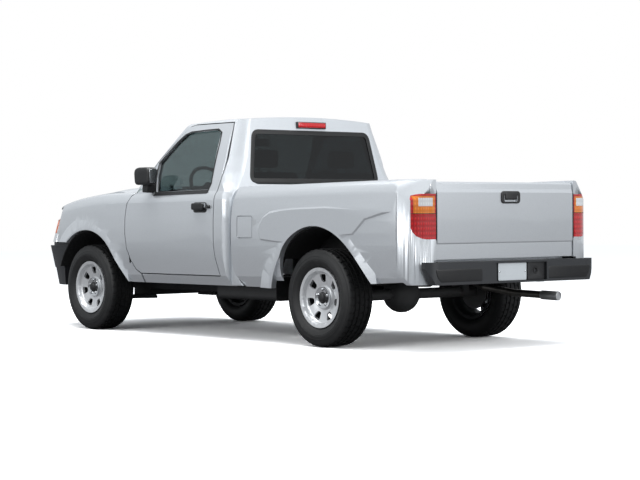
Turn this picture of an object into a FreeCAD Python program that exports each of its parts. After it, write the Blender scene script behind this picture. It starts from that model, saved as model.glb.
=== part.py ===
import FreeCAD, Part
import math
import os

import Sketcher

from FreeCAD import Placement, Rotation, Vector

# Compact pickup truck with a regular cab and a six foot bed.
# Lengths are millimetres, angles degrees. Every sub-part is drawn from the middle of the front
# axle, x forward, y to the left and z up from the road, and its Placement then carries it
# forward so that the middle of the truck's length stands over the origin.

DRIVING_DIMENSIONS = (
    ("overall_length", 4763, "front bumper to rear bumper"),
    ("front_overhang", 860, "front axle to the face of the front bumper"),
    ("wheelbase", 2835, "front axle to rear axle"),
    ("front_track", 1490, "between the middles of the front tyres"),
    ("rear_track", 1457, "between the middles of the rear tyres"),
    ("tyre_radius", 340, "standing radius of the tyre"),
    ("tyre_width", 225, "widest part of the tyre"),
    ("tread_width", 176, "flat of the tread"),
    ("rim_radius", 207, "outside of the rim flange"),
    ("rim_well_radius", 172, "bottom of the rim well, inside the tyre"),
    ("rim_width", 196, "over the two rim flanges"),
    ("bead_clearance", 0.28, "between tyre and rim"),
    ("wheel_windows", 7, "openings between the spokes"),
    ("wheel_window_foot", 108, "inner end of a wheel window from the axle"),
    ("brake_setback", 46, "outer face of the brake inside the middle of the wheel"),
    ("spindle_radius", 17, "stub axle in each wheel"),
    ("spindle_clearance", 0.4, "between spindle and hub"),
    ("kingpin_offset", 640, "steering axis from the middle of the truck"),
    ("kingpin_radius", 24, "upright between the ball joints"),
    ("kingpin_bottom", 262, "top of the lower arm"),
    ("kingpin_top", 486, "underside of the upper arm"),
    ("seat_clearance", 0.3, "between pieces that are bolted to each other"),
    ("engine_bottom", 330, "underside of the engine above the road"),
    ("engine_top", 830, "top of the engine above the road"),
    ("engine_half_width", 210, "half width of the engine"),
    ("gearbox_end", 1120, "rear end of the gearbox behind the front axle"),
    ("shaft_height", 400, "drive shaft at the gearbox above the road"),
    ("shaft_radius", 30, "drive shaft"),
    ("pinion_reach", 174, "flange of the rear axle ahead of its tube"),
    ("axle_tube_radius", 38, "rear axle tube"),
    ("spring_offset", 500, "inner face of a leaf spring from the middle"),
    ("spring_width", 60, "leaf spring"),
    ("pipe_radius", 26, "exhaust pipe"),
    ("tank_bottom", 290, "underside of the fuel tank"),
    ("tank_corner", 35, "rounded edges of the fuel tank"),
    ("liner_thickness", 8, "front wheel liner"),
    ("cushion_bottom", 560, "underside of the seat cushion"),
    ("cushion_top", 700, "top of the seat cushion"),
    ("driver_seat_inner", 60, "inner side of the driver's seat from the middle"),
    ("passenger_seat_inner", 40, "inner side of the passenger's seat from the middle"),
    ("seat_half_span", 700, "outer side of a seat from the middle"),
    ("head_rest_offset", 380, "middle of a head rest from the middle of the truck"),
    ("steering_centre_distance", 1000, "middle of the steering wheel behind the front axle"),
    ("steering_centre_offset", 380, "middle of the steering wheel from the middle of the truck"),
    ("steering_centre_height", 1120, "middle of the steering wheel above the road"),
    ("steering_rim_radius", 14, "thickness of the steering wheel's ring"),
    ("column_stud_radius", 8, "end of the steering column inside the wheel"),
    ("frame_half_width", 395, "outside of the chassis rails"),
    ("frame_rail_width", 60, "width of a chassis rail"),
    ("frame_rail_height", 110, "height of a chassis rail"),
    ("frame_bottom", 320, "underside of the chassis rails"),
    ("frame_kick", 135, "rise of the rails over the rear axle"),
    ("body_rake", 0.013, "rise of the body lines towards the tail, a slope"),
    ("rake_start", 560, "distance behind the front axle where the rake starts"),
    ("sill_half_width", 853, "half width at the sill crease"),
    ("side_half_width", 872, "half width at the lower crease"),
    ("belt_half_width", 865, "half width at the belt crease"),
    ("shoulder_half_width", 838, "half width at the foot of the side glass"),
    ("sill_height", 452, "sill crease above the road"),
    ("crease_height", 667, "lower crease above the road"),
    ("belt_height", 1005, "belt crease above the road"),
    ("shoulder_height", 1075, "foot of the side glass above the road"),
    ("skirt_height", 340, "lower end of the drawn body side, below every panel"),
    ("roof_edge_half_width", 664, "half width at the gutter line of the roof"),
    ("roof_edge_height", 1598, "gutter line above the road"),
    ("roof_height", 1648, "top of the roof above the road"),
    ("fender_drop", 130, "fall of the belt line from the door to the nose"),
    ("fender_inset", 110, "narrowing of the body from the door to the nose"),
    ("fender_skin", 5, "thickness of the fender panel"),
    ("nose_lean", 0.2, "backward lean of the nose above the bumper, a slope"),
    ("nose_reach", 700, "distance ahead of the front axle of the last fender section"),
    ("hood_edge_half_width", 775, "half width at the seam between hood and fender"),
    ("hood_thickness", 22, "hood with its inner frame"),
    ("hood_crown", 48, "rise of the hood's middle over its seam with the fender"),
    ("panel_gap", 8, "seam between neighbouring body panels"),
    ("door_skin", 12, "outer door panel with its hem flange"),
    ("door_thickness", 80, "whole door below the glass"),
    ("door_frame_thickness", 42, "door frame beside the glass"),
    ("door_seal_step", 15, "set-back of the inner door behind its outer panel"),
    ("hinge_setback", 60, "door hinge axis behind the front edge of the door"),
    ("hinge_inboard", 15, "door hinge axis inside the outer door panel"),
    ("hinge_pin_radius", 7, "door hinge pin"),
    ("pin_clearance", 0.3, "between a hinge pin and its hole"),
    ("glass_thickness", 5, "window glass"),
    ("windshield_bow", 100, "forward bow of the windshield's middle at its foot"),
    ("roof_thickness", 34, "roof panel with its lining"),
    ("cab_floor_height", 505, "top of the cabin floor"),
    ("cab_floor_thickness", 35, "cabin floor and carpet"),
    ("firewall_distance", 500, "front of the firewall behind the front axle"),
    ("firewall_thickness", 60, "firewall with its pads"),
    ("cab_back_distance", 1840, "back of the cab behind the front axle"),
    ("cab_back_thickness", 42, "back wall of the cab"),
    ("cab_back_lean", 92, "forward lean of the back wall from belt to roof"),
    ("cab_corner_radius", 55, "rounded rear corners of the cab"),
    ("bed_front_distance", 1908, "front of the bed behind the front axle"),
    ("bed_wall_half_width", 700, "half the width between the bed's inner walls"),
    ("bed_floor_height", 690, "top of the bed floor at its front end"),
    ("bed_floor_thickness", 20, "bed floor"),
    ("bed_front_thickness", 45, "front wall of the bed"),
    ("bed_rail_height", 1095, "top of the bed rail before the rake"),
    ("bed_skin", 22, "bed side below the floor"),
    ("bed_corner_radius", 160, "rounded rear corner of the bed, seen from above"),
    ("wheelhouse_radius", 500, "outside of the rear wheel house"),
    ("wheelhouse_half_width", 512, "half the width between the wheel houses"),
    ("wheelhouse_skin", 10, "thickness of the wheel house"),
    ("arch_radius", 465, "front wheel opening"),
    ("flap_gap", 5, "seam round the fuel door"),
    ("tailgate_distance", 3822, "outer face of the tailgate behind the front axle"),
    ("tailgate_half_width", 650, "half width of the tailgate"),
    ("tailgate_thickness", 45, "whole tailgate"),
    ("tailgate_bottom", 612, "lower edge of the tailgate"),
    ("tailgate_height", 1120, "upper edge of the tailgate"),
    ("tailgate_pivot_height", 650, "tailgate hinge above the road"),
    ("tailgate_pivot_inset", 30, "tailgate hinge inside its outer face"),
    ("tailgate_pin_radius", 9, "tailgate trunnion"),
    ("tailgate_pin_reach", 44, "trunnion beyond the tailgate's end"),
    ("bumper_top", 597, "top of the rear bumper"),
    ("bumper_bottom", 448, "bottom of the rear bumper"),
    ("bumper_half_width", 800, "half width of the rear bumper"),
    ("ball_hole_radius", 12.7, "hole for a tow ball in the rear bumper"),
    ("steering_wheel_radius", 190, "outside of the steering wheel"),
    ("steering_wheel_tilt", 30, "steering column above level"),
)

document = FreeCAD.newDocument("pickup_truck")
sheet = document.addObject("Spreadsheet::Sheet", "sheet")
for row, (alias, value, meaning) in enumerate(DRIVING_DIMENSIONS, start=1):
    sheet.set("A%d" % row, alias)
    sheet.set("B%d" % row, str(value))
    sheet.set("C%d" % row, meaning)
    sheet.setAlias("B%d" % row, alias)
document.recompute()

X_AXIS = Vector(1, 0, 0)
Y_AXIS = Vector(0, 1, 0)
Z_AXIS = Vector(0, 0, 1)
FORWARD_SHIFT = "sheet.overall_length / 2 - sheet.front_overhang"

sub_parts = []


def size(alias):
    return float(sheet.get(alias))


def keep(sub_part, label, place=None):
    """Name a finished sub-part and carry it from the front axle to the truck's own origin"""
    sub_part.Label = label
    sub_part.setExpression("Placement.Base.x", FORWARD_SHIFT)
    for axis, expression in (place or {}).items():
        sub_part.setExpression("Placement.Base." + axis, expression)
    sub_parts.append(sub_part)
    return sub_part


def keep_shape(label, shape, place=None):
    """Keep a shape that is drawn directly, as a feature of its own"""
    feature = document.addObject("Part::Feature", label)
    feature.Shape = shape
    return keep(feature, label, place)


def mirrored(shape):
    return shape.mirror(Vector(0, 0, 0), Y_AXIS)


def keep_pair(name, shape):
    """Keep a left-hand shape and its mirror image"""
    keep_shape(name + "_left", shape)
    keep_shape(name + "_right", mirrored(shape))


def box(x_low, x_high, y_low, y_high, z_low, z_high):
    return Part.makeBox(x_high - x_low, y_high - y_low, z_high - z_low, Vector(x_low, y_low, z_low))


def rod(start, end, radius):
    start = Vector(*start)
    run = Vector(*end) - start
    return Part.makeCylinder(radius, run.Length, start, run)


def rear_view(points, x_low, x_high):
    """Outline in y and z carried along the length of the truck"""
    corners = [Vector(x_low, y, z) for y, z in points]
    return Part.Face(Part.makePolygon(corners + corners[:1])).extrude(Vector(x_high - x_low, 0, 0))


def fused(shapes):
    return shapes[0].fuse(shapes[1:]).removeSplitter()


def new_box(name, low, high):
    """Box between two corners whose coordinates are expressions of the sheet"""
    piece = document.addObject("Part::Box", name)
    for side, axis, start, end in zip(("Length", "Width", "Height"), "xyz", low, high):
        piece.setExpression(side, "(%s) - (%s)" % (end, start))
        piece.setExpression("Placement.Base." + axis, str(start))
    return piece


def new_rod(name, start, direction, radius, length):
    """Round bar from a point, along a direction"""
    piece = document.addObject("Part::Cylinder", name)
    piece.Placement = Placement(Vector(), Rotation(Z_AXIS, direction))
    piece.setExpression("Radius", str(radius))
    piece.setExpression("Height", str(length))
    for axis, value in zip("xyz", start):
        piece.setExpression("Placement.Base." + axis, str(value))
    return piece


def new_ball(name, centre, radius):
    piece = document.addObject("Part::Sphere", name)
    piece.setExpression("Radius", str(radius))
    for axis, value in zip("xyz", centre):
        piece.setExpression("Placement.Base." + axis, str(value))
    return piece


def new_fusion(name, pieces):
    fusion = document.addObject("Part::MultiFuse", name)
    fusion.Shapes = pieces
    fusion.Refine = True
    return fusion


def new_compound(name, pieces):
    compound = document.addObject("Part::Compound", name)
    compound.Links = pieces
    return compound


def new_boolean(kind, name, base, tool):
    """Part::Cut or Part::Common of two objects"""
    result = document.addObject(kind, name)
    result.Base = base
    result.Tool = tool
    return result


def span(side, inner, outer):
    """Expressions of the low and high end of a stretch on one side of the middle"""
    if side > 0:
        return str(inner), str(outer)
    return "-(%s)" % outer, "-(%s)" % inner


def draw(sketch, points):
    """Closed outline of straight runs whose corners follow expressions of the sheet"""
    places = [(float(sheet.evalExpression(u)), float(sheet.evalExpression(v))) for u, v in points]
    corners = [Vector(u, v, 0) for u, v in places]
    sketch.addGeometry([Part.LineSegment(a, b) for a, b in zip(corners, corners[1:] + corners[:1])], False)
    count = len(points)
    for index in range(count):
        sketch.addConstraint(Sketcher.Constraint("Coincident", index, 2, (index + 1) % count, 1))
    for index, (place, expressions) in enumerate(zip(places, points)):
        for kind, value, expression in zip(("DistanceX", "DistanceY"), place, expressions):
            number = sketch.addConstraint(Sketcher.Constraint(kind, -1, 1, index, 1, value))
            sketch.setExpression("Constraints[%d]" % number, expression)


def new_prism(name, points, low, high, facing):
    """Prism from an outline of expressions, seen from the side or from above"""
    sketch = document.addObject("Sketcher::SketchObject", name + "_outline")
    if facing == "side":
        sketch.Placement = Placement(Vector(), Rotation(X_AXIS, 90))
    draw(sketch, [(str(u), str(v)) for u, v in points])
    sketch.setExpression("Placement.Base." + ("y" if facing == "side" else "z"), str(low))
    prism = document.addObject("Part::Extrusion", name)
    prism.Base = sketch
    prism.DirMode = "Custom"
    prism.Dir = Y_AXIS if facing == "side" else Z_AXIS
    prism.Solid = True
    prism.setExpression("LengthFwd", "(%s) - (%s)" % (high, low))
    return prism


def body_sketch(body, name, role, points):
    """Sketch on one of the body's own origin planes"""
    sketch = body.newObject("Sketcher::SketchObject", name)
    plane = [feature for feature in body.Origin.OriginFeatures if feature.Role == role][0]
    sketch.AttachmentSupport = (plane, [""])
    sketch.MapMode = "FlatFace"
    draw(sketch, points)
    return sketch


def side_view(points, y_low, y_high):
    """Prism across the truck from an outline of x and z"""
    corners = [Vector(x, y_low, z) for x, z in points]
    face = Part.Face(Part.makePolygon(corners + corners[:1]))
    return face.extrude(Vector(0, y_high - y_low, 0))


def side_view_curve(points, closing, y_low, y_high):
    """Prism across the truck from a smooth curve of x and z, closed by straight runs"""
    curve = Part.BSplineCurve()
    curve.interpolate([Vector(x, y_low, z) for x, z in points])
    corners = [Vector(x, y_low, z) for x, z in (points[-1],) + tuple(closing) + (points[0],)]
    wire = Part.Wire([curve.toShape()] + Part.makePolygon(corners).Edges)
    return Part.Face(wire).extrude(Vector(0, y_high - y_low, 0))


def plan_view(points, z_low, z_high):
    """Upright prism from an outline of x and y"""
    corners = [Vector(x, y, z_low) for x, y in points]
    face = Part.Face(Part.makePolygon(corners + corners[:1]))
    return face.extrude(Vector(0, 0, z_high - z_low))


def arc_edge(x, start, middle, end):
    """Arc in a cross section, through three points of y and z"""
    return Part.Arc(Vector(x, *start), Vector(x, *middle), Vector(x, *end)).toShape()


def line_edge(x, start, end):
    return Part.makeLine(Vector(x, *start), Vector(x, *end))


front_axle = 0.0
rear_axle = -size("wheelbase")
skirt_z = size("skirt_height")
gap = size("panel_gap")
side_y = size("side_half_width")
OUTSIDE = side_y + 60


def rise(x):
    """Rise of the body lines at x, from the rake of the body"""
    return size("body_rake") * max(0.0, -x - size("rake_start"))


def nose_share(x):
    """0 at the door, 1 at the last section of the fender"""
    start = -size("rake_start")
    return max(0.0, (x - start) / (size("nose_reach") - start))


def side_points(x):
    """Body side at x as (y, z), from the skirt up to the seam with the hood"""
    share = nose_share(x)
    inset = size("fender_inset") * share ** 4
    lift = rise(x) - size("fender_drop") * share ** 2.2
    sill = (size("sill_half_width") - inset, size("sill_height") + rise(x))
    crease = (size("side_half_width") - inset, size("crease_height") + rise(x))
    belt = (size("belt_half_width") - inset, size("belt_height") + lift)
    shoulder = (size("shoulder_half_width") - inset, size("shoulder_height") + lift)
    skirt = (sill[0] - (sill[1] - skirt_z) * 0.54, skirt_z)
    seam = (size("hood_edge_half_width") - inset, shoulder[1] + 19)
    return skirt, sill, crease, belt, shoulder, seam


def middle(start, end, bulge_y=0.0, bulge_z=0.0):
    return ((start[0] + end[0]) / 2 + bulge_y, (start[1] + end[1]) / 2 + bulge_z)


def lower_side_edges(x, depth=0.0):
    """Edges of the body side up to the shoulder, moved inwards by depth"""
    skirt, sill, crease, belt, shoulder, seam = [(y - depth, z) for y, z in side_points(x)]
    return [
        line_edge(x, skirt, sill),
        arc_edge(x, sill, middle(sill, crease, 4), crease),
        arc_edge(x, crease, middle(crease, belt, 3), belt),
        arc_edge(x, belt, middle(belt, shoulder, 3.5, 2), shoulder),
    ]


def glass_side_points(x, depth=0.0):
    """Foot, middle and top of the leaning side above the shoulder"""
    foot = side_points(x)[4]
    top = (size("roof_edge_half_width"), size("roof_edge_height"))
    return [(y - depth, z) for y, z in (foot, middle(foot, top, 13, 0), top)]


def closing_edges(x, first, last, corners=()):
    """Straight edges that close a section from its last point back to its first"""
    points = [last] + list(corners) + [first]
    return [line_edge(x, a, b) for a, b in zip(points, points[1:])]


def sheared_prism(edges, x_start, x_end):
    """Section at x_start carried to x_end along the rake of the body"""
    length = x_start - x_end
    face = Part.Face(Part.Wire(Part.__sortEdges__(edges)))
    return face.extrude(Vector(-length, 0, size("body_rake") * length))


# Outlines seen from the side

DOOR_REAR = ((-1691, 1591), (-1703, 1478), (-1719, 1324), (-1719, 1172), (-1692, 1050),
             (-1689, 893), (-1690, 700), (-1706, 601), (-1748, 470))
DOOR_FRONT = ((-740, 470), (-681, 500), (-617, 574), (-570, 660), (-548, 771), (-550, 896),
              (-568, 995), (-613, 1063), (-733, 1114))
DOOR_FRAME_FRONT = ((-860, 1309), (-1072, 1516), (-1160, 1580), (-1220, 1591))
WINDOW = ((-925, 1090), (-893, 1200), (-889, 1309), (-1052, 1463), (-1125, 1516), (-1195, 1534),
          (-1528, 1543), (-1577, 1519), (-1600, 1263), (-1606, 1144), (-1585, 1099))


def door_outline():
    """Front, frame and rear edges of the door as one closed run of points"""
    return list(DOOR_FRONT) + list(DOOR_FRAME_FRONT) + list(DOOR_REAR)


def outline_wire(points, y):
    corners = [Vector(x, y, z) for x, z in points]
    return Part.makePolygon(corners + corners[:1])


def door_prism(growth, y_low, y_high):
    """Door outline grown or shrunk, as a prism across the truck's left side"""
    wire = outline_wire(door_outline(), y_low)
    if growth:
        wire = wire.makeOffset2D(growth, 0 if growth > 0 else 2)
    return Part.Face(wire).extrude(Vector(0, y_high - y_low, 0))


# Door with its window cut, the left one drawn and the right one its mirror image

def door_solid():
    x_start = -size("rake_start") + 60
    x_end = -size("cab_back_distance")
    skin = size("door_skin")
    frame_depth = size("door_frame_thickness")
    inner_y = side_y - size("door_thickness")
    foot, side_middle, top = glass_side_points(x_start)
    outer = lower_side_edges(x_start) + [arc_edge(x_start, foot, side_middle, top)]
    skirt = side_points(x_start)[0]
    inner_foot, inner_middle, inner_top = glass_side_points(x_start, skin)
    inner = lower_side_edges(x_start, skin) + [arc_edge(x_start, inner_foot, inner_middle, inner_top)]
    inner_skirt = (skirt[0] - skin, skirt[1])
    panel = sheared_prism(
        outer + inner + [line_edge(x_start, top, inner_top), line_edge(x_start, skirt, inner_skirt)],
        x_start, x_end)
    deep_foot, deep_middle, deep_top = glass_side_points(x_start, frame_depth)
    ledge = (inner_y, deep_foot[1])
    frame = sheared_prism(
        inner + [line_edge(x_start, inner_top, deep_top),
                 arc_edge(x_start, deep_foot, deep_middle, deep_top),
                 line_edge(x_start, deep_foot, ledge),
                 line_edge(x_start, ledge, (inner_y, skirt_z)),
                 line_edge(x_start, (inner_y, skirt_z), inner_skirt)],
        x_start, x_end)
    panel = panel.common(door_prism(0, 400, OUTSIDE))
    frame = frame.common(door_prism(-size("door_seal_step"), 400, OUTSIDE))
    window = side_view(WINDOW, 400, OUTSIDE)
    return panel.fuse(frame).cut(window)


def glass_band(thickness, depth, x_start, x_end):
    """Curved pane as high as the side of the cab, at a depth inside its surface"""
    foot, side_middle, top = glass_side_points(x_start, depth)
    back_foot, back_middle, back_top = glass_side_points(x_start, depth + thickness)
    edges = [arc_edge(x_start, foot, side_middle, top), line_edge(x_start, top, back_top),
             arc_edge(x_start, back_foot, back_middle, back_top),
             line_edge(x_start, foot, back_foot)]
    return sheared_prism(edges, x_start, x_end)


# Cab envelope

ROOF_STATIONS = ((-430, 1648), (-1080, 1624), (-1500, 1648), (-1900, 1632))


def cab_section(x, roof_top, depth, roof_depth, floor_z):
    """Closed section of the whole cab at x, both sides and the roof"""
    skirt, sill, crease, belt, shoulder, seam = side_points(x)
    foot, side_middle, top = glass_side_points(x, depth)
    drop = size("roof_height") - roof_top
    edge = (top[0], top[1] - roof_depth - drop * 0.6)
    crown_low = (top[0] - 60, edge[1] + 22)
    crown = (0, roof_top - roof_depth)
    corner = (top[0] - 18, edge[1] + 16)
    low = (skirt[0] - depth, floor_z)
    if depth:
        inner_y = side_y - size("door_thickness")
        left = [line_edge(x, (inner_y, floor_z), (inner_y, foot[1])),
                line_edge(x, (inner_y, foot[1]), foot)]
        low = (inner_y, floor_z)
    else:
        left = lower_side_edges(x)
    left += [arc_edge(x, foot, side_middle, edge), arc_edge(x, edge, corner, crown_low)]
    roof_half = arc_edge(x, crown_low, crown, (-crown_low[0], crown_low[1]))
    right = [e.mirror(Vector(0, 0, 0), Y_AXIS) for e in left]
    base = line_edge(x, low, (-low[0], low[1]))
    return Part.Wire(Part.__sortEdges__(left + right + [roof_half, base]))


def cab_envelope(depth, roof_depth, floor_z, x_front, x_back):
    stations = [cab_section(x, top, depth, roof_depth, floor_z) for x, top in ROOF_STATIONS]
    envelope = Part.makeLoft(stations, True, False)
    return envelope.common(box(x_back, x_front, -OUTSIDE, OUTSIDE, 0, 2000))


def windshield_arc(z, shift):
    """Bowed line across the windshield at height z, moved back by shift"""
    foot_x, foot_z, slope = -647.0, 1100.0, 0.916
    half_width = 790 - (z - foot_z) * 0.27
    x_side = foot_x - (z - foot_z) * slope - shift
    bow = size("windshield_bow") * (half_width / 790) ** 2
    return (Vector(x_side, half_width, z), Vector(x_side + bow, 0, z), Vector(x_side, -half_width, z))


def windshield_tool(shift, x_front):
    """Everything ahead of the windshield's outer face moved back by shift"""
    wires = []
    for z in (1040.0, 1760.0):
        left, mid, right = windshield_arc(z, shift)
        slope_out = left.y + 260
        arc = Part.Arc(left, mid, right).toShape()
        corners = [right, Vector(right.x - 60, -slope_out, z), Vector(x_front, -slope_out, z),
                   Vector(x_front, slope_out, z), Vector(left.x - 60, slope_out, z), left]
        wires.append(Part.Wire([arc] + Part.makePolygon(corners).Edges))
    return Part.makeLoft(wires, True, True)


def back_profile(depth, z_low):
    """Side outline of all that lies behind the cab's leaning back wall, moved forward by depth"""
    back = -size("cab_back_distance") + depth
    lean = size("cab_back_lean")
    return [(back, z_low), (back, 1100), (back + lean, 1720), (-2600, 1720), (-2600, z_low)]


CORNER_LEVELS = ((380, 868, 55, 50), (900, 873, 58, 52), (1020, 868, 70, 62), (1080, 853, 96, 82),
                 (1140, 829, 130, 110), (1220, 804, 160, 134), (1340, 766, 176, 142), (1590, 690, 165, 122),
                 (1720, 650, 165, 112))


def cab_corner_room(x_shift, y_shift):
    """Everything outside the rounded rear corner of the cab, on the left, moved inwards by the shifts

    Each level gives its height, the half width of the side there, and how far the round reaches
    along the side and across the back.
    """
    wires = []
    for z, half, along, across in CORNER_LEVELS:
        back = -size("cab_back_distance") + size("cab_back_lean") * max(0, z - 1100) / 620
        start = Vector(back + along, half + 2 - y_shift, z)
        bend = Vector(back + along * 0.293 + x_shift * 0.7, half - across * 0.293 - y_shift * 0.7, z)
        end = Vector(back - 2 + x_shift, half - across, z)
        arc = Part.Arc(start, bend, end).toShape()
        corners = [end, Vector(back - 90, half - across, z), Vector(back - 90, OUTSIDE + 30, z),
                   Vector(back + along, OUTSIDE + 30, z), start]
        wires.append(Part.Wire([arc] + Part.makePolygon(corners).Edges))
    return Part.makeLoft(wires, True, True)


def rear_window_prism(growth):
    """Rounded rear window outline carried through the back wall"""
    low, high = 1148 - growth, 1531 + growth
    half_low, half_high = 621 + growth, 557 + growth
    corners = [Vector(-2000, y, z) for y, z in
               ((-half_low, low), (half_low, low), (half_high, high), (-half_high, high))]
    prism = Part.Face(Part.makePolygon(corners + corners[:1])).extrude(Vector(400, 0, 0))
    long_edges = [e for e in prism.Edges if abs(e.Vertexes[0].X - e.Vertexes[-1].X) > 200]
    return prism.makeFillet(55 + growth, long_edges)


def rear_window_pane():
    band = side_view(back_profile(10, 1000), -OUTSIDE, OUTSIDE)
    band = band.cut(side_view(back_profile(4, 1000), -OUTSIDE, OUTSIDE))
    return band.common(rear_window_prism(12))


def windshield_pane(growth=0.0):
    thickness = size("glass_thickness") * 1.4
    band = windshield_tool(thickness + growth, 400).cut(windshield_tool(-growth, 400))
    return band.common(cab_envelope(12 - growth, 14 - growth, 1066 - growth, 0, -1990))


def door_hinge_axis():
    """x and y of the left door's hinge axis"""
    front = max(x for x, z in DOOR_FRONT)
    return front - size("hinge_setback"), side_y - size("hinge_inboard")


HINGE_HEIGHTS = (690, 880)
HINGE_LEAF_HEIGHT = 40
HINGE_KNUCKLE_RADIUS = 9


def door_hinges():
    """Gooseneck hinge leaves on the firewall side, each with its knuckle and pin"""
    x, y = door_hinge_axis()
    pieces = []
    inner = y - 87
    for height in HINGE_HEIGHTS:
        low = height - HINGE_LEAF_HEIGHT / 2
        high = height + HINGE_LEAF_HEIGHT / 2
        firewall = -size("firewall_distance") - size("firewall_thickness")
        pieces.append(box(x - 5, x + 5, inner, y, low, high))
        pieces.append(box(x - 5, firewall + 40, inner, inner + 10, low, high))
        pieces.append(rod((x, y, low), (x, y, high), HINGE_KNUCKLE_RADIUS))
        pieces.append(rod((x, y, low - 25), (x, y, high + 25), size("hinge_pin_radius")))
    return pieces


def door_hinge_room():
    """Pockets and pin holes that the left door needs round its hinges"""
    x, y = door_hinge_axis()
    room = []
    for height in HINGE_HEIGHTS:
        low = height - HINGE_LEAF_HEIGHT / 2 - 6
        high = height + HINGE_LEAF_HEIGHT / 2 + 6
        plan = ((-16, 11), (9, 11), (90, -12), (90, -110), (-16, -110))
        room.append(plan_view([(x + u, y + v) for u, v in plan], low, high))
        hole = size("hinge_pin_radius") + size("pin_clearance")
        room.append(rod((x, y, height - 48), (x, y, height + 48), hole))
    return room


HOOD_AXIS = (-575, 1060)
HOOD_LUG = (695, 707)
HOOD_PIN_RADIUS = 6


def cowl():
    profile = ((-500, 1010), (-500, 1034), (-572, 1038), (-640, 1092), (-700, 1100), (-700, 1010))
    return side_view(profile, -740, 740)


def cab_shell():
    floor_top = size("cab_floor_height")
    back = -size("cab_back_distance")
    outer = cab_envelope(0, 0, skirt_z, -size("firewall_distance"), -1990)
    outer = outer.cut(side_view(back_profile(0, 690), -OUTSIDE, OUTSIDE))
    tail = ((back, 691), (back - 60, 494), (back - 150, 396), (-2600, 396), (-2600, 691))
    outer = outer.cut(side_view(tail, -OUTSIDE, OUTSIDE))
    outer = outer.cut(box(-2100, back, -780, 780, 0, 700))
    corner = cab_corner_room(0, 0)
    outer = outer.cut(corner).cut(mirrored(corner))
    outer = outer.cut(windshield_tool(0, 400))
    outer = outer.cut(box(-2100, 0, -OUTSIDE, OUTSIDE, 0, 396))
    inner = cab_envelope(size("door_frame_thickness"), size("roof_thickness"), floor_top,
                         -size("firewall_distance") - size("firewall_thickness"), -1990)
    inner = inner.cut(side_view(back_profile(size("cab_back_thickness"), 0), -OUTSIDE, OUTSIDE))
    corner = cab_corner_room(size("cab_back_thickness"), size("door_frame_thickness"))
    inner = inner.cut(corner).cut(mirrored(corner))
    inner = inner.cut(windshield_tool(45, 400))
    shell = outer.cut(inner)
    opening = windshield_tool(160, 400).common(cab_envelope(40, 44, 1104, 0, -1990))
    shell = shell.cut(opening)
    door_hole = door_prism(gap, 560, OUTSIDE)
    shell = shell.cut(door_hole).cut(mirrored(door_hole))
    under = floor_top - size("cab_floor_thickness")
    shell = shell.cut(box(back + 2, -450, -(side_y - 110), side_y - 110, 0, under))
    ahead = [(-757, skirt_z - 5), (-757, 470)] + list(DOOR_FRONT)
    ahead += [(-640, 1130), (-300, 1130), (-300, skirt_z - 5)]
    fender_room = side_view(ahead, 798, OUTSIDE).fuse(box(-648, -400, 762, OUTSIDE, 1050, 1200))
    shell = shell.cut(fender_room).cut(mirrored(fender_room))
    shell = shell.cut(rear_window_prism(0))
    seat = side_view(back_profile(10, 1000), -OUTSIDE, OUTSIDE).common(rear_window_prism(12))
    shell = shell.cut(seat)
    shell = shell.fuse(cowl()).cut(windshield_pane(0.3))
    pieces = door_hinges()
    pieces += [mirrored(piece) for piece in pieces]
    for side in (1, -1):
        low, high = sorted((side * (HOOD_LUG[0] - 9), side * (HOOD_LUG[1] + 9)))
        shell = shell.cut(box(-602, -480, low, high, 1036, 1100))
        pieces.append(rod((HOOD_AXIS[0], low - 2, HOOD_AXIS[1]), (HOOD_AXIS[0], high + 2, HOOD_AXIS[1]),
                          HOOD_PIN_RADIUS))
        pieces.append(box(HOOD_AXIS[0] - 5, HOOD_AXIS[0] + 5, low - 4, low + 3, 1030, HOOD_AXIS[1]))
        pieces.append(box(HOOD_AXIS[0] - 5, HOOD_AXIS[0] + 5, high - 3, high + 4, 1030, HOOD_AXIS[1]))
    pieces.append(box(-1782, -1740, -138, 138, 1564, 1606))
    underside = size("cab_floor_height") - size("cab_floor_thickness")
    shell = shell.cut(box(-1990, -1780, -700, 700, 0, underside))
    return fused([shell] + pieces)


# Front end

NOSE_FOOT = 698
LAMP_LOW = 768
LAMP_INNER_Y = 430
LAMP_SPLIT_Y = 648
NOSE = ((850, 0), (846, 300), (828, 500), (790, 640), (720, 735), (600, 802), (400, 862))


def set_back(points, shift):
    """Front line moved back and narrowed by a shift"""
    return tuple((x - shift, y - shift * y / 862) for x, y in points)


def leaning_front(points, z_low, z_high, shift_low, shift_high, back_x=-900):
    """Everything behind a bowed front line that moves back as it rises"""
    ends = []
    for z, shift in ((z_low, shift_low), (z_high, shift_high)):
        line = Part.BSplineCurve()
        half = set_back(points, shift)
        both = [Vector(x, -y, z) for x, y in reversed(half[1:])] + [Vector(x, y, z) for x, y in half]
        line.interpolate(both)
        corners = [both[-1], Vector(back_x, both[-1].y, z), Vector(back_x, both[0].y, z), both[0]]
        ends.append(Part.Wire([line.toShape()] + Part.makePolygon(corners).Edges))
    return Part.makeLoft(ends, True, True)


def nose(z_low, z_high, setback=0.0, points=NOSE):
    """Everything behind the painted nose, which leans back from its foot upwards"""
    lean = size("nose_lean")
    return leaning_front(points, z_low, z_high, setback + lean * (z_low - NOSE_FOOT),
                         setback + lean * (z_high - NOSE_FOOT))


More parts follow.
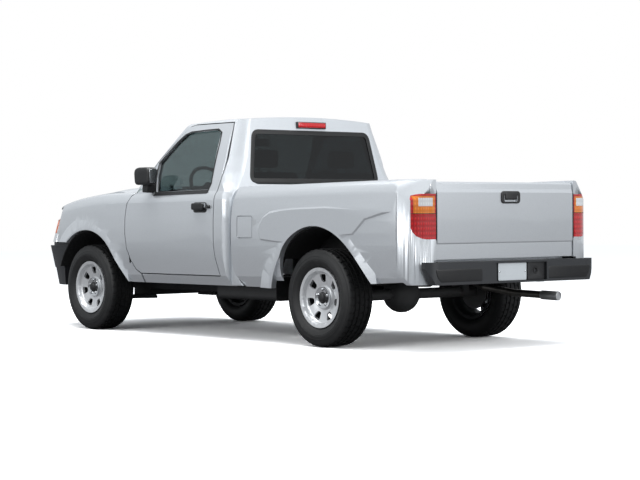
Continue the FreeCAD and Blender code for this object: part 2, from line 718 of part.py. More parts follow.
def fender_section(x):
    """Closed section of the fender sheet at x"""
    skin = size("fender_skin")
    outer = side_points(x)
    inner = [(y - skin, z) for y, z in outer]
    inner[4] = (outer[4][0] - skin, outer[4][1] - skin * 0.6)
    inner[5] = (outer[5][0], outer[5][1] - skin)
    edges = lower_side_edges(x)
    edges.append(arc_edge(x, outer[4], middle(outer[4], outer[5], 3, 5), outer[5]))
    edges.append(line_edge(x, outer[5], inner[5]))
    edges.append(arc_edge(x, inner[4], middle(inner[4], inner[5], 2, 4), inner[5]))
    edges.append(arc_edge(x, inner[3], middle(inner[3], inner[4], 3, 2), inner[4]))
    edges.append(arc_edge(x, inner[2], middle(inner[2], inner[3], 3), inner[3]))
    edges.append(arc_edge(x, inner[1], middle(inner[1], inner[2], 4), inner[2]))
    edges.append(line_edge(x, inner[0], inner[1]))
    edges.append(line_edge(x, inner[0], outer[0]))
    return Part.Wire(Part.__sortEdges__(edges))


FENDER_STATIONS = (-800, -420, -120, 160, 400, 560, 680, 800)
ARCH_HEIGHT = 333


def belt_height(x):
    return side_points(x)[3][1]


def front_arch(radius, y_low, y_high):
    """Wheel opening with its straight run down to the sill"""
    disc = Part.makeCylinder(radius, y_high - y_low, Vector(0, y_low, ARCH_HEIGHT), Y_AXIS)
    knee = radius * math.sqrt(0.5)
    ramp = side_view([(-knee, ARCH_HEIGHT + knee), (-knee - 246, 395), (-knee - 246, 200), (0, 200),
                      (0, ARCH_HEIGHT)], y_low, y_high)
    return disc.fuse(ramp)


def arch_flare(centre_x, radius, reach, lip_y, foot_y):
    """Ring that swells the body side round a wheel opening"""
    points = [Vector(centre_x + r, y, ARCH_HEIGHT) for r, y in
              ((radius - 20, foot_y - 20), (radius - 20, lip_y), (radius + 12, lip_y),
               (radius + reach, foot_y), (radius + reach, foot_y - 20))]
    face = Part.Face(Part.makePolygon(points + points[:1]))
    return face.revolve(Vector(centre_x, 0, ARCH_HEIGHT), Y_AXIS, -180)


LAMP_REAR = (554, 632)


def corner_block(z_low, z_high):
    """Solid front corner with the curve of the nose, from the grille to the fender's side"""
    depth = ((520, 940), (520, 770), (640, 705), (700, 620), (740, 520), (745, LAMP_INNER_Y),
             (900, LAMP_INNER_Y), (900, 940))
    block = nose(z_low, z_high, 0, NOSE[:-1] + ((520, 835), (300, 862)))
    return block.common(plan_view(depth, z_low, z_high))


def fender():
    skin = Part.makeLoft([fender_section(x) for x in FENDER_STATIONS], True, False)
    skin = skin.fuse(arch_flare(0, size("arch_radius"), 110, side_y + 10, side_y - 16))
    outline = [(-742, 396), (-742, 1076), (-628, 1076), (-622, 1140), (900, 1140),
               (900, belt_height(800)), (800, belt_height(800)), (700, belt_height(700)),
               (LAMP_REAR[1], belt_height(LAMP_REAR[1])), (LAMP_REAR[0], LAMP_LOW), (900, LAMP_LOW),
               (900, NOSE_FOOT), (300, NOSE_FOOT), (0, 396)]
    skin = skin.common(side_view(outline, 500, OUTSIDE))
    skin = skin.cut(door_prism(gap, 400, OUTSIDE))
    skin = skin.cut(front_arch(size("arch_radius"), 400, OUTSIDE))
    x, y = door_hinge_axis()
    skin = skin.cut(rod((x, y, 545), (x, y, 590), 15))
    skin = skin.cut(Part.makeCone(15, 45, 75, Vector(x, y, 590)))
    skin = skin.common(nose(300, 1300, 0, NOSE[:-1] + ((400, 940), (0, 940))))
    return skin.fuse(corner_block(NOSE_FOOT, LAMP_LOW)).removeSplitter()


def hood_height(x, y):
    seam = side_points(x)[5]
    crown = size("hood_crown") * (1 - min(1.2, abs(y) / seam[0]) ** 4)
    nose_fall = 52 * (max(0.0, x - 600) / 234) ** 2.2
    return seam[1] + crown - nose_fall


HOOD_STATIONS = (-640, -400, -150, 120, 380, 560, 700, 790, 870)
HOOD_ROWS = (-1.0, -0.84, -0.6, -0.3, 0.0, 0.3, 0.6, 0.84, 1.0)


def hood_face():
    grid = []
    for x in HOOD_STATIONS:
        half = side_points(x)[5][0]
        grid.append([Vector(x, share * half, hood_height(x, share * half)) for share in HOOD_ROWS])
    surface = Part.BSplineSurface()
    surface.interpolate(grid)
    return surface.toShape()


def hood():
    face = hood_face()
    thickness = size("hood_thickness")
    slab = face.extrude(Vector(0, 0, -thickness))
    rear = [(-505 - 60 * (y / 700) ** 2, y) for y in (-800, -600, -400, -200, 0, 200, 400, 600, 800)]
    sides = [(x, side_points(x)[5][0] - gap) for x in (-560, -300, 0, 300, 500, 650, 800, 870)]
    right = [(x, -y) for x, y in sides]
    rear = [p for p in rear if abs(p[1]) < 740]
    outline = plan_view(list(reversed(rear)) + right + list(reversed(sides)), 500, 1400)
    deep = face.extrude(Vector(0, 0, -90)).common(outline).common(box(-900, 900, -900, 900, 852, 1400))
    behind = nose(500, 1500, thickness)
    panel = slab.common(outline).common(behind).fuse(deep.cut(behind).common(nose(500, 1500)))
    for side in (1, -1):
        low, high = sorted((side * HOOD_LUG[0], side * HOOD_LUG[1]))
        x, z = HOOD_AXIS
        arm = side_view([(x - 12, z - 8), (x, z - 14), (x + 120, z + 20), (x + 120, z + 36),
                         (x + 40, z + 36), (x - 8, z + 12)], low, high)
        arm = arm.fuse(rod((x, low, z), (x, high, z), 14))
        arm = arm.cut(rod((x, low - 1, z), (x, high + 1, z), HOOD_PIN_RADIUS + size("pin_clearance")))
        panel = panel.fuse(arm)
    return panel


def lamp_block():
    """Left lamp housing over the fender's corner"""
    side = [(LAMP_REAR[0] + gap, LAMP_LOW + 0.3)]
    side += [(x, belt_height(x) - gap) for x in (LAMP_REAR[1] + gap, 700, 800)]
    side += [(900, 846), (900, LAMP_LOW + 0.3)]
    block = corner_block(LAMP_LOW, 1000).common(side_view(side, 300, OUTSIDE))
    return block.cut(box(560, 900, 0, 656, 848, 1200))


def lamps():
    block = lamp_block()
    headlamp = block.common(box(0, 1000, 0, LAMP_SPLIT_Y - 0.15, 0, 1200))
    turn_lamp = block.common(box(0, 1000, LAMP_SPLIT_Y + 0.15, OUTSIDE, 0, 1200))
    return headlamp, turn_lamp


def grille():
    half = LAMP_INNER_Y - 0.3
    low = NOSE_FOOT + 2
    width = box(720, 900, -half, half, 0, 1200)
    outer = nose(low, 846, 6).common(width)
    window = box(600, 1000, -half + 26, half - 26, low + 22, 824)
    back = nose(600, 900, 50)
    frame = outer.cut(window).cut(back)
    bars = []
    for z in (734, 762, 790):
        bars.append(nose(z, z + 9, 14).common(width).cut(back))
    for y in (-200, 0, 200):
        post = nose(low + 2, 842, 20)
        bars.append(post.common(box(700, 900, y - 5, y + 5, 0, 1200)).cut(back))
    return fused([frame] + bars)


BUMPER = ((860, 0), (857, 300), (842, 500), (806, 655), (742, 745), (620, 808), (385, 838), (300, 842))


def front_bumper():
    """Bumper whose two steps lean inwards towards the road"""
    top, step, bottom = 668, 486, 344
    upper = leaning_front(BUMPER, step, top, 29, 0, 200)
    lower = leaning_front(BUMPER, bottom, step + 2, 54, 34, 200)
    inside = leaning_front(BUMPER, bottom - 20, top + 10, 99, 42, 100)
    shell = upper.fuse(lower).cut(inside).common(box(300, 900, -OUTSIDE, OUTSIDE, 300, 800))
    shell = shell.cut(front_arch(size("arch_radius"), -OUTSIDE, OUTSIDE))
    shell = shell.cut(box(690, 900, -330, 330, 392, 462))
    outer = size("frame_half_width")
    low = size("frame_bottom")
    brackets = [box(700.3, 784, *sorted((side * (outer - 60), side * outer)), low + 40, low + 120)
                for side in (1, -1)]
    return fused([shell] + brackets)


def radiator_support():
    """Frame across the front of the engine bay, with the radiator and the stays of the nose"""
    low = "sheet.frame_bottom + sheet.frame_rail_height + 20 + sheet.seat_clearance"
    pieces = [new_box("support_top", (640, -620, 800), (688, 620, 850)),
              new_box("support_foot", (640, -620, low), (688, 620, low + " + 55")),
              new_box("radiator", (648, -340, low + " + 30"), (680, 340, 820))]
    for side in (1, -1):
        for name, inner, outer in (("support_post", 560, 620), ("lamp_post", 400, 470)):
            y_low, y_high = span(side, inner, outer)
            pieces.append(new_box(name, (640, y_low, low), (688, y_high, 850)))
        pieces.append(new_box("nose_stay", (640, y_low, 650), (790, y_high, "%d - sheet.seat_clearance"
                                                               % NOSE_FOOT)))
    return new_fusion("radiator_support", pieces)


# Load bed

BLISTER = ((-2205, 800), (-2232, 862), (-2275, 908), (-2348, 942), (-2484, 962), (-2617, 970),
           (-2954, 978), (-3374, 962), (-3690, 930), (-3374, 860), (-3250, 760), (-2480, 700), (-2240, 720))


def bed_blister():
    """Swelling of the bed side over the wheel opening, its upper edge swept to the rear"""
    outline = Part.makePolygon([Vector(x, 0, z) for x, z in BLISTER + BLISTER[:1]])
    foot = outline.translated(Vector(0, side_y - 9, 0))
    crown = outline.makeOffset2D(-24, 2)
    crown = crown.translated(Vector(0, side_y + 8, 0))
    return Part.makeLoft([foot, crown], True, True)


def bed_side(with_filler):
    x_start = -size("bed_front_distance")
    x_end = -size("tailgate_distance")
    skirt, sill, crease, belt, shoulder, seam = side_points(x_start)
    rail_z = size("bed_rail_height") + rise(x_start)
    wall = size("bed_wall_half_width")
    skin = size("bed_skin")
    floor_under = size("bed_floor_height") - size("bed_floor_thickness")
    rail_outer = (shoulder[0] - 10, rail_z)
    corners = [shoulder, rail_outer, (wall + 12, rail_z), (wall + 12, rail_z - 26),
               (wall, rail_z - 40), (wall, floor_under), (skirt[0] + 28 - skin, floor_under),
               (skirt[0] - skin, skirt_z), skirt]
    edges = lower_side_edges(x_start) + [line_edge(x_start, a, b) for a, b in zip(corners, corners[1:])]
    side = sheared_prism(edges, x_start, x_end)
    centre = rear_axle - 15
    flare = arch_flare(centre, size("wheelhouse_radius") - 6, 130, side_y + 10, side_y - 14)
    side = side.fuse(flare).fuse(bed_blister())
    side = side.cut(rod((centre, 0, ARCH_HEIGHT), (centre, side_y - 34, ARCH_HEIGHT),
                        size("wheelhouse_radius") + 6))
    arch = ((-2525, 370), (-2460, 500), (-2491, 662), (-2640, 787), (-2831, 833), (-3051, 782),
            (-3245, 642), (-3416, 450), (-3480, 380))
    side = side.cut(side_view_curve(arch, ((-3480, 200), (-2525, 200)), side_y - 60, OUTSIDE))
    front = ((x_start, 1180), (x_start - 75, 1180), (x_start - 45, 1080), (x_start - 18, 990),
             (x_start, 880), (x_start, 720), (x_start + 32, 668), (x_start - 28, 480), (x_start - 102, 397),
             (-2500, 394), (-2500, 200), (-1700, 200), (-1700, 1180))
    side = side.cut(side_view(front, 400, OUTSIDE))
    side = side.cut(side_view([(-3380, 200), (-3380, 449), (-4000, 482), (-4000, 200)], 400, OUTSIDE))
    side = side.cut(box(-2500, -1700, 400, OUTSIDE, 200, 394))
    side = side.cut(box(-4000, -3300, 400, OUTSIDE, 200, 449))
    post = box(x_end, x_end + 82, size("tailgate_half_width") + gap, side_y - 30, 608, rail_z + 20)
    side = side.fuse(post).cut(bed_corner_room()).fuse(bed_corner_skirt())
    pin_x, pin_z = tailgate_axis()
    hole = size("tailgate_pin_radius") + size("pin_clearance")
    side = side.cut(rod((pin_x, 600, pin_z), (pin_x, 700, pin_z), hole))
    side = side.cut(tail_lamp_block(0.0))
    if not with_filler:
        return side
    x, y = fuel_door_axis()
    side = side.cut(fuel_door_prism(size("flap_gap")).common(box(-2400, -1900, side_y - 30, OUTSIDE, 0, 1200)))
    hinge = [rod((x, y, 796), (x, y, 854), 1.5)]
    for z in (796, 850):
        hinge.append(box(x - 2.5, x + 0.8, side_y - 32, y, z, z + 4))
    return fused([side] + hinge)


def fuel_door_axis():
    return FUEL_DOOR[1] - 6, side_y - 4


def fuel_door():
    """Filler flap, the skin of the bed side inside its seam, with its hinge knuckle"""
    x_start = -size("bed_front_distance")
    skirt, sill, crease, belt, shoulder, seam = side_points(x_start)
    depth = 5
    inner = lower_side_edges(x_start, depth)
    skin = sheared_prism(lower_side_edges(x_start) + inner
                         + [line_edge(x_start, skirt, (skirt[0] - depth, skirt[1])),
                            line_edge(x_start, shoulder, (shoulder[0] - depth, shoulder[1]))],
                         x_start, -size("tailgate_distance"))
    x, y = fuel_door_axis()
    flap = skin.common(fuel_door_prism(0))
    for z in (794, 848):
        flap = flap.cut(box(x - 9, x + 9, 800, side_y - 2.4, z - 2, z + 8))
    knuckle_block = rod((x, y, 800), (x, y, 850), 3.5)
    flap = flap.fuse(knuckle_block)
    return flap.cut(rod((x, y, 790), (x, y, 860), 1.5 + size("pin_clearance")))


def tailgate_axis():
    return -size("tailgate_distance") + size("tailgate_pivot_inset"), size("tailgate_pivot_height")


LAMP_OUTER = ((740, 745), (773, 750), (805, 766), (822, 791), (831, 820), (831, 1005), (819, 1029),
              (794, 1037), (770, 1040))
CORNER_TOP = (Vector(-3822, 700, 1113), Vector(-3700, 800, 1113), Vector(-3775, 817, 1000))


def bed_corner_room():
    """Room outside the bed's rear corner, which is round from above and falls away at the top"""
    radius = size("bed_corner_radius")
    x_end = -size("tailgate_distance")
    x, y = x_end + radius, side_y - 8 - radius
    room = box(x_end - 10, x, y, OUTSIDE, 0, 1300).cut(Part.makeCylinder(radius, 1300, Vector(x, y, 0)))
    rear, front, low = CORNER_TOP
    slope = (front - rear).cross(low - rear)
    return room.fuse(Part.makeCylinder(300, 200, (rear + front + low) / 3, slope))


def rear_corner_body():
    """Solid rear end of the left bed side out to its skin"""
    x_start = -size("bed_front_distance")
    skirt = side_points(x_start)[0]
    shoulder = side_points(x_start)[4]
    edges = lower_side_edges(x_start)
    edges += closing_edges(x_start, skirt, shoulder, ((600, shoulder[1]), (600, skirt[1])))
    body = sheared_prism(edges, x_start, -size("tailgate_distance"))
    return body.common(box(-4000, -3640, 0, OUTSIDE, 0, 1300)).cut(bed_corner_room())


def bed_corner_skirt():
    """Curved skin that closes the rear corner below the floor"""
    radius = size("bed_corner_radius")
    x = radius - size("tailgate_distance")
    y = side_y - 8 - radius
    inner = Part.makeCylinder(radius - size("bed_skin"), 1300, Vector(x, y, 0))
    room = box(-4000, x + 4, y - 20, OUTSIDE, 449, size("bed_floor_height"))
    return rear_corner_body().common(room).cut(inner).cut(box(x - 1, x + 10, 0, y + radius - 22, 0, 1300))


def tail_lamp_block(inset):
    """Rear corner lamp that wraps from the tailgate round to the side"""
    low = size("tailgate_half_width") + gap + 4
    lens = rear_view(((low, 745),) + LAMP_OUTER + ((low, 1040),), -3822 + inset, -3735)
    return lens.common(box(-3900, -3776, 0, OUTSIDE, 0, 1300).fuse(box(-3900, -3735, 745, OUTSIDE, 0, 1300)))


def tail_lamp():
    return rear_corner_body().common(tail_lamp_block(0.3))


FUEL_DOOR = (-2150, -1981, 750, 900)


def fuel_door_prism(growth):
    x_low, x_high, z_low, z_high = FUEL_DOOR
    prism = box(x_low - growth, x_high + growth, 400, OUTSIDE, z_low - growth, z_high + growth)
    corners = [e for e in prism.Edges if abs(e.Vertexes[0].Y - e.Vertexes[-1].Y) > 100]
    return prism.makeFillet(10 + growth, corners)


BED_SILL_LOW = 600
BED_SILLS = (-2050, -2560, -3130, -3650)


def bed_box():
    x_front = -size("bed_front_distance")
    x_rear = -size("tailgate_distance") + 90
    wall = size("bed_wall_half_width")
    floor_z = size("bed_floor_height")
    thick = size("bed_floor_thickness")
    front_thick = size("bed_front_thickness")
    low = floor_z - thick
    corners = [(-wall, low), (wall, low), (wall, floor_z), (-wall, floor_z), (-wall, low)]
    floor = sheared_prism([line_edge(x_front, a, b) for a, b in zip(corners, corners[1:])],
                          x_front, x_rear)
    front = box(x_front - front_thick, x_front, -wall, wall, low, size("bed_rail_height") + 14)
    houses = []
    centre = rear_axle - 15
    radius = size("wheelhouse_radius")
    skin = size("wheelhouse_skin")
    inner_y = size("wheelhouse_half_width")
    outer_y = side_y - 36
    for side in (1, -1):
        house = rod((centre, side * inner_y, ARCH_HEIGHT), (centre, side * outer_y, ARCH_HEIGHT), radius)
        hollow = rod((centre, side * (inner_y + skin), ARCH_HEIGHT),
                     (centre, side * (outer_y + 5), ARCH_HEIGHT), radius - skin)
        upper = box(centre - 600, centre + 600, -OUTSIDE, OUTSIDE, 600, 1000)
        houses.append((house, hollow, upper))
    tub = fused([floor, front] + [h.common(u) for h, hollow, u in houses])
    for house, hollow, upper in houses:
        tub = tub.cut(hollow)
    sills = [box(x - 40, x + 40, -440, 440, BED_SILL_LOW, low + 6 + rise(x)) for x in BED_SILLS]
    sills.append(box(-3742, -3716, -630, 630, 548, low + 4 + rise(-3740)))
    return fused([tub] + sills)


def tailgate():
    x_outer = -size("tailgate_distance")
    half = size("tailgate_half_width")
    thick = size("tailgate_thickness")
    bottom = size("tailgate_bottom")
    top = size("tailgate_height")
    profile = [(x_outer + 8, bottom), (x_outer + 8, 712), (x_outer, 722), (x_outer, 1050),
               (x_outer + 9, 1074), (x_outer + 11, top - 12), (x_outer + 20, top),
               (x_outer + thick, top), (x_outer + thick, bottom)]
    slab = side_view(profile, -half, half)
    bezel = box(x_outer - 7, x_outer + 2, -117, 56, 980, 1057)
    bezel = bezel.makeFillet(18, [e for e in bezel.Edges if abs(e.Vertexes[0].X - e.Vertexes[-1].X) > 5])
    slab = slab.fuse(bezel).cut(box(x_outer - 8, x_outer + 6, -92, 30, 992, 1032))
    pin_x, pin_z = tailgate_axis()
    pins = [rod((pin_x, side * (half - 10), pin_z), (pin_x, side * (half + 44), pin_z),
                size("tailgate_pin_radius")) for side in (1, -1)]
    return fused([slab] + pins)


def rear_bumper():
    half = size("bumper_half_width")
    top = size("bumper_top")
    bottom = size("bumper_bottom")
    rear = -(size("overall_length") - size("front_overhang"))
    front = rear + 110
    wing = -size("tailgate_distance") - 6
    left = [(front, 640), (wing, 640), (wing, half), (rear + 39, half), (rear + 22, half - 20),
            (rear + 10, half - 38), (rear + 3, half - 60), (rear, half - 92)]
    right = [(x, -y) for x, y in reversed(left)]
    bar = plan_view(left + right, bottom, top)
    for side in (1, -1):
        end = [(side * (half - 66), bottom - 5), (side * (half + 5), bottom - 5),
               (side * (half + 5), bottom + 106), (side * half, bottom + 106)]
        bar = bar.cut(rear_view(end, rear - 5, front + 5))
        low, high = sorted((side * 330, side * (half - 40)))
        bar = bar.cut(box(rear + 22, rear + 78, low, high, top - 7, top + 5))
    bar = bar.cut(box(wing, front + 9, -half - 9, half + 9, 0, top - 34))
    bar = bar.cut(box(rear - 1, rear + 22, -300, 190, bottom + 12, bottom + 134))
    bar = bar.cut(Part.makeCylinder(size("ball_hole_radius"), 300, Vector(rear + 46, 0, 400)))
    rail = size("frame_half_width") + 0.3
    arms = [box(rear + 60, -3650, *sorted((side * rail, side * (rail + 30))), bottom + 10, top - 60)
            for side in (1, -1)]
    return fused([bar] + arms)


# Chassis

def frame_rails():
    """Two rails that rise over the rear axle, their cross members and the body mounts"""
    low = "sheet.frame_bottom"
    deep = "sheet.frame_rail_height"
    kick = "sheet.frame_bottom + sheet.frame_kick"
    tail = "sheet.frame_bottom + 120"
    inner = "sheet.frame_half_width - sheet.frame_rail_width"
    outer = "sheet.frame_half_width"
    profile = [(700, low + " + 30"), (420, low + " + 30"), (300, low), (-2250, low), (-2480, kick),
               (-3150, kick), (-3380, tail), (-3790, tail), (-3790, tail + " + 90"),
               (-3380, tail + " + " + deep), (-3150, kick + " + " + deep), (-2480, kick + " + " + deep),
               (-2250, low + " + " + deep), (300, low + " + " + deep),
               (420, low + " + 20 + " + deep), (700, low + " + 20 + " + deep)]
    pieces = []
    for side in (1, -1):
        y_low, y_high = span(side, inner, outer)
        pieces.append(new_prism("rail", profile, y_low, y_high, "side"))
    for x, z, height in ((560, low + " + 40", 50), (-1120, low + " - 18", 34),
                         (-2150, low + " - 4 + " + deep, 34), (-3000, kick + " + 40", 50),
                         (-3730, tail + " + 20", 50)):
        pieces.append(new_box("cross_member", (x - 35, "-(%s) - 1" % inner, z),
                              (x + 35, inner + " + 1", "%s + %d" % (z, height))))
    cab_seat = "sheet.cab_floor_height - sheet.cab_floor_thickness - sheet.seat_clearance"
    bed_seat = "%d - sheet.seat_clearance" % BED_SILL_LOW
    mounts = [(x, low + " + " + deep, cab_seat) for x in (-700, -1780)]
    rail_tops = (low + " + " + deep, kick + " + " + deep, kick + " + " + deep, tail + " + 90")
    mounts += [(x, top, bed_seat) for x, top in zip(BED_SILLS, rail_tops)]
    for x, z_low, z_high in mounts:
        for side in (1, -1):
            y_low, y_high = span(side, inner + " + 5", outer + " - 5")
            pieces.append(new_box("body_mount", (x - 30, y_low, z_low + " - 2"), (x + 30, y_high, z_high)))
    return new_fusion("frame_rails", pieces)


def engine_block():
    """Engine and gearbox as plain blocks of the real size"""
    engine = new_box("engine", (-420, "-sheet.engine_half_width", "sheet.engine_bottom"),
                     (240, "sheet.engine_half_width", "sheet.engine_top"))
    bell = document.addObject("Part::Cone", "clutch_bell")
    bell.Placement = Placement(Vector(-420, 0, 440), Rotation(Z_AXIS, -X_AXIS))
    bell.setExpression("Radius1", "sheet.engine_half_width - 40")
    bell.Radius2 = 80
    bell.Height = 80
    case = new_box("gearbox", ("-sheet.gearbox_end", -95, "sheet.shaft_height - 60"),
                   (-495, 95, "sheet.shaft_height + 62"))
    return new_fusion("engine_block", [engine, bell, case])


def drive_shaft():
    start = Vector(-size("gearbox_end") - 1.4, 0, size("shaft_height"))
    end = Vector(rear_axle + size("pinion_reach"), 0, size("tyre_radius") + 16)
    place = ("-sheet.gearbox_end - 1.4", 0, "sheet.shaft_height")
    length = ("sqrt((sheet.wheelbase - sheet.pinion_reach - sheet.gearbox_end - 1.4)^2"
              " + (sheet.shaft_height - sheet.tyre_radius - 16)^2)")
    return new_rod("drive_shaft", place, end - start, "sheet.shaft_radius", length)


def rear_axle_housing():
    """Axle tube with its gear bowl, brakes, stub axles and spring seats"""
    axle = "-sheet.wheelbase"
    z = "sheet.tyre_radius"
    face = "sheet.rear_track / 2 - sheet.brake_setback"
    pieces = [new_rod("axle_tube", (axle, "-(%s)" % face, z), Y_AXIS, "sheet.axle_tube_radius",
                      "2 * (%s)" % face)]
    bowl = new_ball("gear_bowl", (axle, 60, z), 132)
    trim = new_box("gear_bowl_room", (axle + " - 200", -200, 0), (axle + " + 112", 300, 800))
    pieces.append(new_boolean("Part::Common", "gear_housing", bowl, trim))
    pinion = Vector(62, -40, 8)
    pieces.append(new_rod("pinion_neck", (axle + " + 90", 40, z + " + 8"), pinion, 55, pinion.Length))
    for side in (1, -1):
        outward = Vector(0, side, 0)
        hub = "%d * (%s)" % (side, face)
        pieces.append(new_rod("brake", (axle, "%d * (%s - 14)" % (side, face), z), outward, 130, 14))
        pieces.append(new_rod("stub_axle", (axle, hub, z), outward, "sheet.spindle_radius",
                              "sheet.brake_setback"))
        y_low, y_high = span(side, "sheet.spring_offset", "sheet.spring_offset + sheet.spring_width")
        pieces.append(new_box("spring_seat", (axle + " - 60", y_low, z + " - 4"),
                              (axle + " + 60", y_high, z + " + 52")))
    return new_fusion("rear_axle_housing", pieces)


def leaf_springs():
    """Leaf pack over each side of the axle, with its front eye and its rear shackle"""
    axle = "-sheet.wheelbase"
    seat = "sheet.tyre_radius + 52 + sheet.seat_clearance"
    outline = [(-2250, 432), (-2285, 432), (axle, seat + " + 40"), (-3470, 492), (-3505, 492),
               (-3505, 480), (-3470, 478), (axle, seat), (-2285, 418), (-2250, 418)]
    springs = []
    for side in (1, -1):
        y_low, y_high = span(side, "sheet.spring_offset", "sheet.spring_offset + sheet.spring_width")
        pieces = [new_prism("leaf", outline, y_low, y_high, "side")]
        y_low, y_high = span(side, "sheet.frame_half_width + sheet.seat_clearance",
                             "sheet.spring_offset + sheet.spring_width + 6")
        for x, top in ((-2268, 418), (-3488, 486)):
            pieces.append(new_box("hanger", (x - 22, y_low, top - 20), (x + 22, y_high, top + 26)))
        springs.append(new_fusion("spring", pieces))
    return new_compound("leaf_springs", springs)


EXHAUST_ROUTE = ((-350, -210.3, 400), (-350, -262, 400), (-480, -262, 398), (-1500, -240, 398),
                 (-2400, -250, 395), (-2600, -440, 395), (-2720, -455, 450), (-2950, -455, 450),
                 (-3150, -455, 385), (-3350, -560, 345), (-3720, -600, 332))


def exhaust():
    """Pipe along its route, with a ball at each bend and the silencer in the middle"""
    radius = size("pipe_radius")
    pieces = [rod(start, end, radius) for start, end in zip(EXHAUST_ROUTE, EXHAUST_ROUTE[1:])]
    pieces += [Part.makeSphere(radius, Vector(*point)) for point in EXHAUST_ROUTE[1:-1]]
    silencer = box(-2050, -1500, -325, -150, 345, 455)
    return fused(pieces + [silencer])


def fuel_tank():
    tank = new_box("tank_block", (-2200, "sheet.frame_half_width + sheet.seat_clearance", "sheet.tank_bottom"),
                   (-1500, 690, 462))
    document.recompute()
    rounded = document.addObject("Part::Fillet", "fuel_tank")
    rounded.Base = tank
    radius = size("tank_corner")
    rounded.Edges = [(number, radius, radius) for number, edge in enumerate(tank.Shape.Edges, start=1)
                     if edge.Length > 650 and edge.CenterOfMass.y > 600]
    return rounded


def wheel_liners():
    """Plastic liner in each front wheel opening, seated in the lip of the fender"""
    outside = "sheet.arch_radius - sheet.seat_clearance"
    liners = []
    for side in (1, -1):
        y_low, y_high = span(side, 470, "sheet.side_half_width - 22")
        length = "sheet.side_half_width - 492"
        drum = new_rod("liner_drum", (0, y_low, ARCH_HEIGHT), Y_AXIS, outside, length)
        bore = new_rod("liner_bore", (0, y_low, ARCH_HEIGHT), Y_AXIS, outside + " - sheet.liner_thickness",
                       length)
        ring = new_boolean("Part::Cut", "liner_ring", drum, bore)
        half = new_box("liner_reach", (-500, y_low, 500), (500, y_high, 900))
        liners.append(new_boolean("Part::Common", "liner", ring, half))
    return new_compound("wheel_liners", liners)


def front_suspension():
    """Front cross member with an upper and a lower arm on each side, and their pivots"""
    inner = "sheet.frame_half_width - sheet.frame_rail_width - sheet.seat_clearance"
    rail_top = "sheet.frame_bottom + sheet.frame_rail_height + sheet.seat_clearance"
    ball = "sheet.kingpin_offset"
    bottom = "sheet.kingpin_bottom"
    pieces = [new_box("cross_beam", (-90, "-(%s)" % inner, bottom),
                      (90, inner, "sheet.engine_bottom - sheet.seat_clearance"))]
    for side in (1, -1):
        for name, front, rear, root, tip, low, high in (
                ("lower_arm", 110, -180, 310, 34, bottom + " - 24", bottom),
                ("upper_arm", 90, -90, 350, 26, "sheet.kingpin_top", "sheet.kingpin_top + 22")):
            reach = "%d * (%s + 24)" % (side, ball)
            outline = [(rear, side * root), (front, side * root), (tip, reach), (-tip, reach)]
            pieces.append(new_prism(name, outline, low, high, "top"))
        y_low, y_high = span(side, 300, 360)
        pieces.append(new_box("lower_pivot", (-150, y_low, bottom + " - 22"),
                              (80, y_high, "sheet.frame_bottom - sheet.seat_clearance")))
        y_low, y_high = span(side, 345, 390)
        pieces.append(new_box("upper_pivot", (-60, y_low, rail_top), (60, y_high, "sheet.kingpin_top + 34")))
    return new_fusion("front_suspension", pieces)


def knuckle(side, label):
    """Upright that turns about the steering axis and carries the front wheel"""
    y = "%d * sheet.kingpin_offset" % side
    z = "sheet.tyre_radius"
    face = "(sheet.front_track / 2 - sheet.brake_setback)"
    outward = Vector(0, side, 0)
    low = "sheet.kingpin_bottom + sheet.seat_clearance"
    arm_low, arm_high = span(side, "sheet.kingpin_offset - 40", "sheet.kingpin_offset - 14")
    pieces = [new_rod("kingpin", (0, y, low), Z_AXIS, "sheet.kingpin_radius",
                      "sheet.kingpin_top - sheet.kingpin_bottom - 2 * sheet.seat_clearance"),
              new_rod("hub_carrier", (0, "%d * (sheet.kingpin_offset - 10)" % side, z), outward, 46,
                      face + " - sheet.kingpin_offset + 10"),
              new_rod("brake", (0, "%d * (%s - 14)" % (side, face), z), outward, 125, 14),
              new_rod("stub_axle", (0, "%d * %s" % (side, face), z), outward, "sheet.spindle_radius",
                      "sheet.brake_setback"),
              new_box("steering_arm", (-150, arm_low, 320), (0, arm_high, 345))]
    return new_fusion(label, pieces)


# Wheels

def turned_about_axle(body, name, side, section):
    """Ring of the wheel, from a section of distance outward and radius"""
    points = [("%d * (%s)" % (side, u), str(r)) for u, r in section]
    sketch = body_sketch(body, name + "_section", "YZ_Plane", points)
    ring = body.newObject("PartDesign::Revolution", name)
    ring.Profile = sketch
    ring.ReferenceAxis = (sketch, ["H_Axis"])
    ring.Angle = 360
    document.recompute()
    return ring


